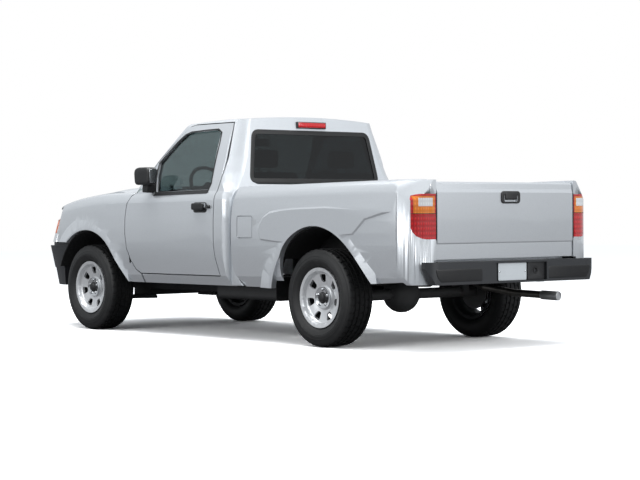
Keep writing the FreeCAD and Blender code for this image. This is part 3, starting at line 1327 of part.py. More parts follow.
def rim(label, side):
    """Wheel about its own middle: a disc with windows between its spokes, inside a barrel"""
    body = document.addObject("PartDesign::Body", label)
    well = "sheet.rim_well_radius"
    flange = "sheet.rim_radius"
    half = "sheet.rim_width / 2"
    bore = "sheet.spindle_radius + sheet.spindle_clearance"
    seat = "-sheet.brake_setback + sheet.seat_clearance"
    disc = [(seat, bore), (seat, 76), (-34, 90), (30, 102), (42, 124), (50, 158), (48, well + " + 4"),
            (62, well + " + 10"), (66, well + " + 4"), (62, 158), (56, 126), (48, 100), (44, 84), (50, 70),
            (58, 62), (62, 40), (62, 0), (1, 0), (1, bore)]
    turned_about_axle(body, "disc", side, disc)
    foot = "sheet.wheel_window_foot"
    outer = "sheet.rim_well_radius - 9"
    window = [("-11", foot), ("11", foot), ("21", foot + " + 9"), ("30", outer + " - 11"), ("22", outer),
              ("-22", outer), ("-30", outer + " - 11"), ("-21", foot + " + 9")]
    sketch = body_sketch(body, "window_outline", "XZ_Plane", window)
    pocket = body.newObject("PartDesign::Pocket", "window")
    pocket.Profile = sketch
    pocket.Length = 100
    pocket.Reversed = side < 0
    document.recompute()
    pattern = body.newObject("PartDesign::PolarPattern", "windows")
    pattern.Originals = [pocket]
    pattern.Axis = (sketch, ["N_Axis"])
    pattern.Angle = 360
    pattern.setExpression("Occurrences", "sheet.wheel_windows")
    body.Tip = pattern
    document.recompute()
    barrel = [("-" + half, flange), ("-%s + 12" % half, flange), ("-%s + 14" % half, flange + " - 16"),
              ("-%s + 55" % half, well), (half + " - 60", well), (half + " - 14", flange + " - 16"),
              (half + " - 12", flange), (half, flange), (half + " - 2", flange + " - 22"),
              (half + " - 52", well + " - 10"), ("-%s + 50" % half, well + " - 10"),
              ("-%s + 2" % half, flange + " - 22")]
    turned_about_axle(body, "barrel", side, barrel)
    return body


def tyre(label):
    """Tyre about its own middle, hollow between its beads"""
    body = document.addObject("PartDesign::Body", label)
    radius = "sheet.tyre_radius"
    half = "sheet.tyre_width / 2"
    tread = "sheet.tread_width / 2"
    bead = "sheet.rim_radius - 14"
    wall = "sheet.rim_width / 2 - 13.75 - sheet.bead_clearance"
    outer_half = [(wall, bead), (wall, "sheet.rim_radius + 2"), (half + " - 4", "sheet.rim_radius + 34"),
                  (half, "sheet.rim_radius + 66"), (half + " - 6", radius + " - 38"),
                  (tread + " + 4", radius + " - 8"), (tread + " - 8", radius + " - 1")]
    inner_half = [(tread + " - 10", radius + " - 22"), (half + " - 28", bead + " + 50"),
                  ("sheet.rim_width / 2 - 30", bead + " - 2")]
    section = outer_half + [(0, radius)]
    section += [("-(%s)" % u, r) for u, r in reversed(outer_half)]
    section += [("-(%s)" % u, r) for u, r in reversed(inner_half)]
    section += inner_half
    turned_about_axle(body, "carcass", 1, section)
    return body


# Cabin

SEAT_SIDES = (("driver", 1, "sheet.driver_seat_inner"), ("passenger", -1, "sheet.passenger_seat_inner"))


def seat_cushions():
    pieces = []
    for name, side, inner in SEAT_SIDES:
        y_low, y_high = span(side, inner, "sheet.seat_half_span")
        pieces.append(new_box(name + "_cushion", (-1620, y_low, "sheet.cushion_bottom"),
                              (-1130, y_high, "sheet.cushion_top")))
    return new_compound("seat_cushions", pieces)


def seat_backs():
    """Leaning backs that stand on the cushions, each with its head rest on two posts"""
    foot = "sheet.cushion_top + sheet.seat_clearance"
    profile = [(-1622, foot), (-1548, foot), (-1625, 1240), (-1705, 1240), (-1700, 780)]
    backs = []
    for name, side, inner in SEAT_SIDES:
        y_low, y_high = span(side, inner, "sheet.seat_half_span")
        head = "%d * sheet.head_rest_offset" % side
        pieces = [new_prism(name + "_back_pad", profile, y_low, y_high, "side"),
                  new_box(name + "_head_rest", (-1715, head + " - 125", 1260), (-1635, head + " + 125", 1400))]
        for offset in (-50, 50):
            pieces.append(new_rod("post", (-1675, "%s + %d" % (head, offset), 1230), Z_AXIS, 7, 40))
        backs.append(new_fusion(name + "_back", pieces))
    return new_compound("seat_backs", backs)


def seat_base():
    pieces = []
    for name, side, inner in SEAT_SIDES:
        y_low, y_high = span(side, inner + " + 20", "sheet.seat_half_span - 20")
        if side < 0:
            y_high = "-(%s) + 20" % inner
        pieces.append(new_box(name + "_base", (-1600, y_low, "sheet.cab_floor_height + sheet.seat_clearance"),
                              (-1180, y_high, "sheet.cushion_bottom - sheet.seat_clearance")))
    return new_compound("seat_base", pieces)


STEERING_CENTRE = ("-sheet.steering_centre_distance", "sheet.steering_centre_offset",
                   "sheet.steering_centre_height")


def column_place(reach):
    """Point on the steering column's axis, ahead of the wheel's middle by reach"""
    x, y, z = STEERING_CENTRE
    return ("%s + %g * cos(sheet.steering_wheel_tilt)" % (x, reach), y,
            "%s - %g * sin(sheet.steering_wheel_tilt)" % (z, reach))


def steering_direction():
    tilt = math.radians(size("steering_wheel_tilt"))
    return Vector(math.cos(tilt), 0, -math.sin(tilt))


def dashboard():
    """Dashboard across the cabin, with the steering column and its shroud"""
    wall = "-sheet.firewall_distance - sheet.firewall_thickness - sheet.seat_clearance"
    profile = [(wall, 700), (wall, 958), (-612, 1009), (-701, 1009), (-701, 1066), (-860, 1058),
               (-905, 1000), (-880, 860), (-820, 740)]
    direction = steering_direction()
    pieces = [new_prism("dash_panel", profile, -752, 752, "side"),
              new_rod("column", column_place(34), direction, 26, 180),
              new_rod("column_shroud", column_place(70), direction, 45, 110),
              new_rod("column_stud", column_place(-4), direction, "sheet.column_stud_radius", 60)]
    return new_fusion("dashboard", pieces)


def steering_wheel():
    """Ring, hub and two spokes, bored for the end of the column"""
    direction = steering_direction()
    ring = document.addObject("Part::Torus", "steering_ring")
    ring.Placement = Placement(Vector(), Rotation(Z_AXIS, direction))
    for axis, value in zip("xyz", column_place(-10)):
        ring.setExpression("Placement.Base." + axis, value)
    ring.setExpression("Radius1", "sheet.steering_wheel_radius - sheet.steering_rim_radius")
    ring.setExpression("Radius2", "sheet.steering_rim_radius")
    pieces = [ring, new_rod("steering_hub", column_place(-4), direction, 52, 34)]
    for name, side in (("left_spoke", 1), ("right_spoke", -1)):
        spoke = document.addObject("Part::Box", name)
        spoke.setExpression("Length", "sheet.steering_wheel_radius - 20")
        spoke.Width = 32
        spoke.Height = 12
        turn = Rotation(Y_AXIS, 90 + size("steering_wheel_tilt")).multiply(Rotation(Z_AXIS, side * 90))
        centre = Vector(-size("steering_centre_distance"), size("steering_centre_offset"),
                        size("steering_centre_height"))
        spoke.Placement = Placement(centre + direction * 2 - turn.multVec(Vector(0, 16, 6)), turn)
        pieces.append(spoke)
    wheel = new_fusion("steering_wheel_blank", pieces)
    bore = new_rod("steering_bore", column_place(-4.5), direction, "sheet.column_stud_radius + 0.4", 120)
    return new_boolean("Part::Cut", "steering_wheel", wheel, bore)


# Doors with their glass and mirrors

def left_door():
    door = door_solid()
    for room in door_hinge_room():
        door = door.cut(room)
    pull = plan_view([(-1452, 856), (-1466, 897), (-1560, 900), (-1588, 890), (-1600, 856)], 966, 998)
    pull = pull.cut(plan_view([(-1478, 871), (-1484, 888), (-1550, 889), (-1556, 871)], 950, 1010))
    return door.cut(door_glass(0.3)).fuse(pull)


def door_glass(growth=0.0):
    """Side glass in its run inside the door frame"""
    x_start = -size("rake_start") + 60
    band = glass_band(size("glass_thickness") + 2 * growth, 16 - growth, x_start, -size("cab_back_distance"))
    wire = outline_wire(WINDOW, 400).makeOffset2D(9 + growth, 0)
    grown = Part.Face(wire).extrude(Vector(0, OUTSIDE - 400, 0))
    return band.common(grown)


def mirror():
    """Door mirror on the triangle ahead of the side glass"""
    head = side_view([(-812, 1150), (-800, 1240), (-830, 1275), (-975, 1275), (-990, 1240), (-985, 1150),
                      (-960, 1142), (-830, 1142)], 880, 960)
    head = head.makeFillet(14, [e for e in head.Edges if abs(e.Vertexes[0].Y - e.Vertexes[-1].Y) < 1])
    x_start = -size("rake_start") + 60
    band = glass_band(9, -9.3, x_start, -size("cab_back_distance"))
    foot = band.common(side_view([(-908, 1088), (-790, 1108), (-898, 1225)], 600, OUTSIDE))
    arm = side_view([(-890, 1096), (-845, 1104), (-850, 1160), (-900, 1160)], 838, 900)
    return fused([head, foot, arm])


keep_shape("cab_shell", cab_shell())
keep_pair("front_fender", fender())
keep(radiator_support(), "radiator_support")
keep_shape("grille", grille())
headlamp_shape, turn_lamp_shape = lamps()
keep_pair("headlamp", headlamp_shape)
keep_pair("turn_lamp", turn_lamp_shape)
keep_shape("front_bumper", front_bumper())
keep_shape("windshield", windshield_pane())
keep_shape("rear_window", rear_window_pane())
keep_shape("bed_box", bed_box())
keep_shape("bed_side_left", bed_side(True))
keep_shape("bed_side_right", mirrored(bed_side(False)))
keep_pair("tail_lamp", tail_lamp())
keep_shape("rear_bumper", rear_bumper())
keep(frame_rails(), "frame_rails")
keep(engine_block(), "engine_block")
keep(drive_shaft(), "drive_shaft", {"x": FORWARD_SHIFT + " - sheet.gearbox_end - 1.4"})
keep(rear_axle_housing(), "rear_axle_housing")
keep(leaf_springs(), "leaf_springs")
keep_shape("exhaust_pipe", exhaust())
keep(fuel_tank(), "fuel_tank")
keep(wheel_liners(), "wheel_liners")
keep(front_suspension(), "front_suspension")
keep(seat_cushions(), "seat_cushions")
keep(seat_backs(), "seat_backs")
keep(seat_base(), "seat_base")
keep(dashboard(), "dashboard")
keep(steering_wheel(), "steering_wheel")
keep_shape("hood", hood())
keep_pair("door", left_door())
keep_pair("door_glass", door_glass())
keep_pair("mirror", mirror())
keep_shape("tailgate", tailgate())
for side_name, side in (("left", 1), ("right", -1)):
    keep(knuckle(side, "steering_knuckle_" + side_name), "steering_knuckle_" + side_name)
for corner, track, x_place in (("front", "front_track", FORWARD_SHIFT),
                               ("rear", "rear_track", FORWARD_SHIFT + " - sheet.wheelbase")):
    for side_name, side in (("left", 1), ("right", -1)):
        place = {"x": x_place, "y": "%d * sheet.%s / 2" % (side, track), "z": "sheet.tyre_radius"}
        name = corner + "_" + side_name
        keep(rim("rim_" + name, side), "rim_" + name, place)
        keep(tyre("tyre_" + name), "tyre_" + name, place)

keep_shape("fuel_door", fuel_door())
document.recompute()


def check_and_write():
    """Refuse a failed object or a bad shape, then write one STEP file per sub-part"""
    for thing in document.Objects:
        if "Invalid" in thing.State or "Error" in thing.State:
            raise RuntimeError("failed object: %s" % thing.Label)
    for sub_part in sub_parts:
        if sub_part.Shape.isNull() or not sub_part.Shape.isValid():
            raise RuntimeError("bad shape: %s" % sub_part.Label)
    os.makedirs("parts", exist_ok=True)
    for sub_part in sub_parts:
        sub_part.Shape.exportStep(os.path.join("parts", sub_part.Label + ".step"))


check_and_write()
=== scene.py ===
"""Looks of a compact regular-cab pickup truck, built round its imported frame.

Places are in millimetres, with x forward from the front axle, y to the left of the middle and z up
from the road, unless a line says metres.
"""

import logging
import math
from contextlib import contextmanager
from dataclasses import dataclass, field
from enum import Enum
from typing import Callable, Dict, Iterator, Optional, Sequence, Tuple

import bpy
from mathutils import Matrix, Vector


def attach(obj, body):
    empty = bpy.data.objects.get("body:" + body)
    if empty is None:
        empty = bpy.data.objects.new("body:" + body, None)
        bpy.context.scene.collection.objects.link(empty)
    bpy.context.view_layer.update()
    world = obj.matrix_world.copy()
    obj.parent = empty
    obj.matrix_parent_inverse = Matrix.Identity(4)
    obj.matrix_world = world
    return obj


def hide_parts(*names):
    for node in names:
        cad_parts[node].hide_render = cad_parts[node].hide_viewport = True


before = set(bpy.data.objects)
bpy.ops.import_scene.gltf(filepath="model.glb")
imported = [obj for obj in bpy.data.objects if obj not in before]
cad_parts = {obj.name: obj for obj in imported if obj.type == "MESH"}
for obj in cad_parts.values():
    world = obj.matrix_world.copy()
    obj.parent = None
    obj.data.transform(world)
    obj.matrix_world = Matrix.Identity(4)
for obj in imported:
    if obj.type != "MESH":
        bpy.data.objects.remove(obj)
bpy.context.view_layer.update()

LOG = logging.getLogger("pickup")
FRONT_AXLE = 1.5215
SIDES = (("left", 1), ("right", -1))

# Edge angles in degrees: shaded smooth on a copied node, on a soft blend, and merged away.
PANEL_ANGLE = 24
BLEND_ANGLE = 34
FLAT_ANGLE = 0.4

# Where a patch starts outside the part, in millimetres, and the height of its strips in metres.
PATCH_START = 1100
PATCH_STEP = 0.03

Point = Tuple[float, float, float]
Outline = Sequence[Tuple[float, float]]
Socket = bpy.types.NodeSocket
Tree = bpy.types.NodeTree
Piece = bpy.types.Object
Placing = Callable[[Vector, Vector], bool]
FaceTest = Callable[[bpy.types.MeshPolygon], bool]


def at(x: float, y: float, z: float) -> Vector:
    """Turn millimetres from the front axle, the middle and the road into the frame's metres.

    Args:
        x: Forward from the front axle.
        y: To the left of the middle.
        z: Up from the road.

    Returns:
        The place in the frame.
    """
    return Vector((x / 1000 + FRONT_AXLE, y / 1000, z / 1000))


def along(spot: Vector) -> float:
    """Tell how many millimetres a place in the frame lies forward of the front axle."""
    return (spot.x - FRONT_AXLE) * 1000


def linear(code: str) -> Tuple[float, float, float, float]:
    """Turn an sRGB hex colour into the linear colour that a shader takes.

    Args:
        code: Six hex digits.

    Returns:
        Red, green, blue and a full alpha.
    """
    channels = [int(code[i:i + 2], 16) / 255 for i in (0, 2, 4)]
    red, green, blue = (c / 12.92 if c <= 0.04045 else ((c + 0.055) / 1.055) ** 2.4 for c in channels)
    return red, green, blue, 1.0


class Facing(Enum):
    """Plane that a flat outline is drawn in, and the way its thickness runs."""

    SIDE = "side"
    REAR = "rear"
    TOP = "top"


TURNS: Dict[Facing, Matrix] = {
    Facing.SIDE: Matrix(((1, 0, 0, 0), (0, 0, -1, 0), (0, 1, 0, 0), (0, 0, 0, 1))),
    Facing.REAR: Matrix(((0, 0, 1, 0), (1, 0, 0, 0), (0, 1, 0, 0), (0, 0, 0, 1))),
    Facing.TOP: Matrix.Identity(4),
}


def add_node(tree: Tree, kind: str, settings: Optional[dict] = None,
             links: Optional[dict] = None) -> bpy.types.Node:
    """Add one shader node.

    Args:
        tree: Tree that takes the node.
        kind: Blender's name of the node type.
        settings: Properties by name, and socket values by socket name or number.
        links: Output sockets that feed the node's inputs, by input name or number.

    Returns:
        The node.
    """
    node = tree.nodes.new(kind)
    for key, value in (settings or {}).items():
        if isinstance(key, str) and hasattr(node, key):
            setattr(node, key, value)
        else:
            node.inputs[key].default_value = value
    for key, socket in (links or {}).items():
        tree.links.new(socket, node.inputs[key])
    return node


def fresh_tree(owner: bpy.types.ID) -> Tree:
    """Turn on the shader nodes of a material or world and return its tree, emptied."""
    owner.use_nodes = True
    owner.node_tree.nodes.clear()
    return owner.node_tree


def link(name: str, data: bpy.types.ID) -> Piece:
    """Put new data, such as a mesh, curve, lamp or camera, into the scene as an object."""
    piece = bpy.data.objects.new(name, data)
    bpy.context.scene.collection.objects.link(piece)
    return piece


@dataclass(frozen=True)
class Brush:
    """Patterns of one material, which feed its shader."""

    tree: Tree
    shader: bpy.types.Node
    place: Socket

    def feed(self, name: str, socket: Socket) -> None:
        """Link a socket to the shader's input of that name."""
        self.tree.links.new(socket, self.shader.inputs[name])

    def noise(self, size_mm: float, detail: float) -> Socket:
        """Add a cloudy pattern from 0 to 1 with spots of a size in millimetres."""
        return add_node(self.tree, "ShaderNodeTexNoise", {"Scale": 1000 / size_mm, "Detail": detail},
                        {"Vector": self.place}).outputs["Fac"]

    def bands(self, axis: str, size_mm: float, distortion: float = 0.0) -> Socket:
        """Add a pattern of waves across an axis, one every few millimetres.

        Args:
            axis: Blender's name of the direction that the waves run along.
            size_mm: Length of one wave.
            distortion: How far the waves stray.

        Returns:
            The pattern from 0 to 1.
        """
        waves_per_unit_of_scale = 20 / math.pi
        return add_node(self.tree, "ShaderNodeTexWave", {
            "bands_direction": axis, "Scale": 1000 / size_mm / waves_per_unit_of_scale,
            "Distortion": distortion, "Detail": 1.0}, {"Vector": self.place}).outputs["Fac"]

    def product(self, first: Socket, second: Socket) -> Socket:
        """Multiply two patterns."""
        return add_node(self.tree, "ShaderNodeMath", {"operation": "MULTIPLY"},
                        {0: first, 1: second}).outputs[0]

    def remap(self, amount: Socket, low: float, high: float, start: float = 0, stop: float = 1) -> Socket:
        """Stretch a pattern from start to stop so that it runs from low to high."""
        return add_node(self.tree, "ShaderNodeMapRange", {1: start, 2: stop, 3: low, 4: high},
                        {0: amount}).outputs[0]

    def tint(self, amount: Socket, dark: Tuple[float, ...], light: Tuple[float, ...]) -> None:
        """Colour the surface from dark to light by a pattern."""
        mix = add_node(self.tree, "ShaderNodeMix", {"data_type": "RGBA", 6: dark, 7: light}, {0: amount})
        self.feed("Base Color", mix.outputs[2])

    def emboss(self, height: Socket, strength: float, depth: float, name: str = "Normal") -> None:
        """Raise the surface by a pattern.

        Args:
            height: The pattern.
            strength: Share of the relief that is used.
            depth: Its height in metres.
            name: The shader's input that takes it.
        """
        relief = add_node(self.tree, "ShaderNodeBump", {"Strength": strength, "Distance": depth},
                          {"Height": height})
        self.feed(name, relief.outputs[0])


@dataclass(frozen=True)
class Finish:
    """A real material and how its surface was made.

    The base class gives the colour and the gloss a fine random blotching and a fine bump, which is what
    any moulded, cast or painted surface shows from close by.
    """

    name: str
    colour: str
    roughness: float = 0.5
    metallic: float = 0.0
    ior: float = 1.5
    coat: float = 0.0
    grain_mm: float = 2.0
    grain_depth: float = 0.02
    mottle_and_shade: float = 0.04
    mottle_mm: float = 60.0
    coat_roughness: float = 0.04

    def build(self) -> bpy.types.Material:
        """Make the material, or return the one made before."""
        known = bpy.data.materials.get(self.name)
        if known:
            return known
        material = bpy.data.materials.new(self.name)
        tree = fresh_tree(material)
        shader = add_node(tree, "ShaderNodeBsdfPrincipled", {
            "Roughness": self.roughness, "Metallic": self.metallic, "IOR": self.ior})
        if self.coat:
            shader.inputs["Coat Weight"].default_value = self.coat
            shader.inputs["Coat Roughness"].default_value = self.coat_roughness
        place = add_node(tree, "ShaderNodeTexCoord").outputs["Object"]
        self.pattern(Brush(tree, shader, place))
        add_node(tree, "ShaderNodeOutputMaterial", links={"Surface": shader.outputs[0]})
        return material

    def shade(self, brush: Brush, amount: Socket, share: float) -> None:
        """Darken and lighten the colour by a pattern.

        Args:
            brush: The material's patterns.
            amount: Pattern from 0 to 1.
            share: How far the colour moves each way.
        """
        channels = linear(self.colour)[:3]
        dark = tuple(c * (1 - share) for c in channels) + (1,)
        light = tuple(min(1.0, c * (1 + share)) for c in channels) + (1,)
        brush.tint(amount, dark, light)

    def pattern(self, brush: Brush) -> None:
        """Give the surface its colour, gloss and relief."""
        broad = brush.noise(self.mottle_mm, 3.0)
        self.shade(brush, broad, self.mottle_and_shade)
        brush.feed("Roughness", brush.remap(broad, max(0.02, self.roughness * 0.9),
                                            min(1.0, self.roughness * 1.1)))
        brush.emboss(brush.noise(self.grain_mm, 2.0), min(1.0, self.grain_depth * 10),
                     self.grain_mm / 1000 * 0.3)


@dataclass(frozen=True)
class MetallicPaint(Finish):
    """Silver base coat with aluminium flake under clear lacquer: it glitters finely and darkens
    where the surface turns away."""

    flake_mm: float = 1.6
    wave_mm: float = 14.0
    gloss_change: float = 0.03

    def pattern(self, brush: Brush) -> None:
        """Give the base coat its flake and the lacquer its slight waviness."""
        flake = add_node(brush.tree, "ShaderNodeTexVoronoi", {"Scale": 1000 / self.flake_mm},
                         {"Vector": brush.place})
        self.shade(brush, flake.outputs["Color"], self.mottle_and_shade)
        brush.emboss(brush.noise(self.wave_mm, 1.0), 0.02, 0.001, "Coat Normal")
        brush.feed("Roughness", brush.remap(flake.outputs["Distance"], self.roughness - self.gloss_change,
                                            self.roughness + self.gloss_change))


@dataclass(frozen=True)
class Rubber(Finish):
    """Vulcanised tyre rubber, moulded: dull, a little grey with dust in its hollows."""

    dust: str = "2C2B2A"

    def pattern(self, brush: Brush) -> None:
        """Lay dust over the black in soft patches, with a fine moulded grain."""
        patches = brush.remap(brush.noise(self.mottle_mm, 5.0), 0.0, 0.35, 0.45, 0.8)
        brush.tint(patches, linear(self.colour), linear(self.dust))
        brush.emboss(brush.noise(self.grain_mm, 2.0), 0.25, 0.0006)


@dataclass(frozen=True)
class Clear(Finish):
    """Glass or a clear plastic lens: light passes, tinted by its colour."""

    cloud_mm: float = 300.0

    def pattern(self, brush: Brush) -> None:
        """Let light through, tinted very slightly unevenly."""
        brush.shader.inputs["Transmission Weight"].default_value = 1.0
        self.shade(brush, brush.noise(self.cloud_mm, 1.0), 0.03)


@dataclass(frozen=True)
class Cloth(Finish):
    """Woven seat cloth: crossed threads and a soft sheen at grazing angles."""

    thread_mm: float = 2.4
    sheen: float = 0.35
    stray: float = 0.6

    def pattern(self, brush: Brush) -> None:
        """Cross two sets of threads, drawn coarse enough to show."""
        brush.shader.inputs["Sheen Weight"].default_value = self.sheen
        weave = brush.product(brush.bands("Y", self.thread_mm, self.stray),
                              brush.bands("DIAGONAL", self.thread_mm, self.stray))
        self.shade(brush, weave, 0.35)
        brush.emboss(weave, 0.5, 0.001)


@dataclass(frozen=True)
class Lens(Finish):
    """Coloured lamp lens, moulded with upright flutes inside and smooth outside."""

    flute_mm: float = 8.0
    light_through: float = 0.15

    def pattern(self, brush: Brush) -> None:
        """Mould the flutes, and paint shade between them and a highlight on them."""
        brush.shader.inputs["Transmission Weight"].default_value = self.light_through
        grid = brush.product(brush.bands("Y", self.flute_mm), brush.bands("Z", 2 * self.flute_mm))
        # Painted shade and highlight: the colour is darker between the flutes and lighter on them.
        self.shade(brush, grid, self.mottle_and_shade)
        brush.emboss(grid, 0.35, 0.001)


BODY_PAINT = MetallicPaint("silver_metallic_lacquered_steel", "D0D4D8", 0.33, 0.66, 1.5, 1.0, mottle_and_shade=0.10)
WHEEL_PAINT = MetallicPaint("silver_painted_steel_wheel", "D6D8DA", 0.36, 0.55, 1.5, 0.6, mottle_and_shade=0.06)
TYRE_RUBBER = Rubber("vulcanised_tyre_rubber", "121314", 0.55, grain_mm=1.5)
BLACK_PLASTIC = Finish("black_grained_polypropylene", "1B1C1E", 0.5, grain_mm=1.2, grain_depth=0.05)
BUMPER_PAINT = Finish("charcoal_painted_steel", "2E3033", 0.42, 0.15, coat=0.3, grain_mm=3.0)
SEAL_RUBBER = Finish("extruded_seal_rubber", "0A0B0C", 0.5, grain_mm=1.0)
CHASSIS_COAT = Finish("black_dip_coated_steel", "202224", 0.55, 0.2, grain_mm=4.0, grain_depth=0.05)
CAST_ALLOY = Finish("sand_cast_aluminium", "77787A", 0.55, 0.9, grain_mm=2.5, grain_depth=0.08)
CAST_IRON = Finish("cast_iron", "3A3836", 0.7, 0.6, grain_mm=2.5, grain_depth=0.08)
EXHAUST_STEEL = Finish("aluminised_exhaust_steel", "8A8782", 0.36, 0.95, grain_mm=5.0, mottle_and_shade=0.18)
SPRING_STEEL = Finish("painted_spring_steel", "242527", 0.5, 0.3, grain_mm=3.0)
TANK_PLASTIC = Finish("blow_moulded_polyethylene", "1D1E1F", 0.45, grain_mm=3.0)
LINER_FELT = Finish("pressed_liner_plastic", "131415", 0.8, grain_mm=3.0, grain_depth=0.1)
TINTED_GLASS = Clear("tinted_toughened_glass", "6E7C80", 0.02)
REAR_GLASS = Clear("dark_tinted_toughened_glass", "262C2E", 0.02)
CLEAR_GLASS = Clear("clear_laminated_glass", "B8C4C0", 0.02)
CLEAR_LENS = Clear("clear_moulded_polycarbonate", "F2F4F4", 0.03, ior=1.58)
REFLECTOR = Finish("vacuum_metallised_reflector", "E8E8E8", 0.12, 1.0, grain_mm=9.0)
CHROME = Finish("bright_plated_steel", "D8DADC", 0.12, 1.0, grain_mm=9.0, mottle_and_shade=0.02)
VINYL = Finish("grained_dashboard_vinyl", "212226", 0.6, grain_mm=1.4, grain_depth=0.08)
SEAT_CLOTH = Cloth("woven_seat_cloth", "2E3035", 0.85)
DIAL_FACE = Finish("printed_instrument_glass", "17191C", 0.12, coat=0.6, grain_mm=6.0, grain_depth=0.01)
PAD_RUBBER = Finish("moulded_bumper_rubber", "121315", 0.42, grain_mm=1.6, grain_depth=0.06)
TIP_STEEL = Finish("brushed_stainless_steel", "D6D8DA", 0.38, 0.75, grain_mm=8.0, mottle_and_shade=0.05)
PLATE_WHITE = Finish("reflective_sheeted_aluminium", "C6CCD0", 0.35, grain_mm=1.2, grain_depth=0.03)
MIRROR_GLASS = Finish("silvered_mirror_glass", "E6E8EA", 0.03, 1.0, grain_mm=40.0, grain_depth=0.0)
# On these lamp lenses the last share in each line sets the strength of the painted shade between the flutes
# and the painted highlight on them.
RED_LAMP = Lens("red_moulded_acrylic_lens", "C8161B", 0.16, coat=1.0, mottle_and_shade=0.3)
AMBER_LAMP = Lens("amber_moulded_acrylic_lens", "F0841E", 0.16, coat=1.0, mottle_and_shade=0.22)
CORNER_LAMP = Lens("orange_moulded_corner_lens", "F26A12", 0.4, mottle_and_shade=0.3)
WHITE_LAMP = Lens("white_moulded_acrylic_lens", "E4E6E8", 0.16, coat=1.0, mottle_and_shade=0.12)


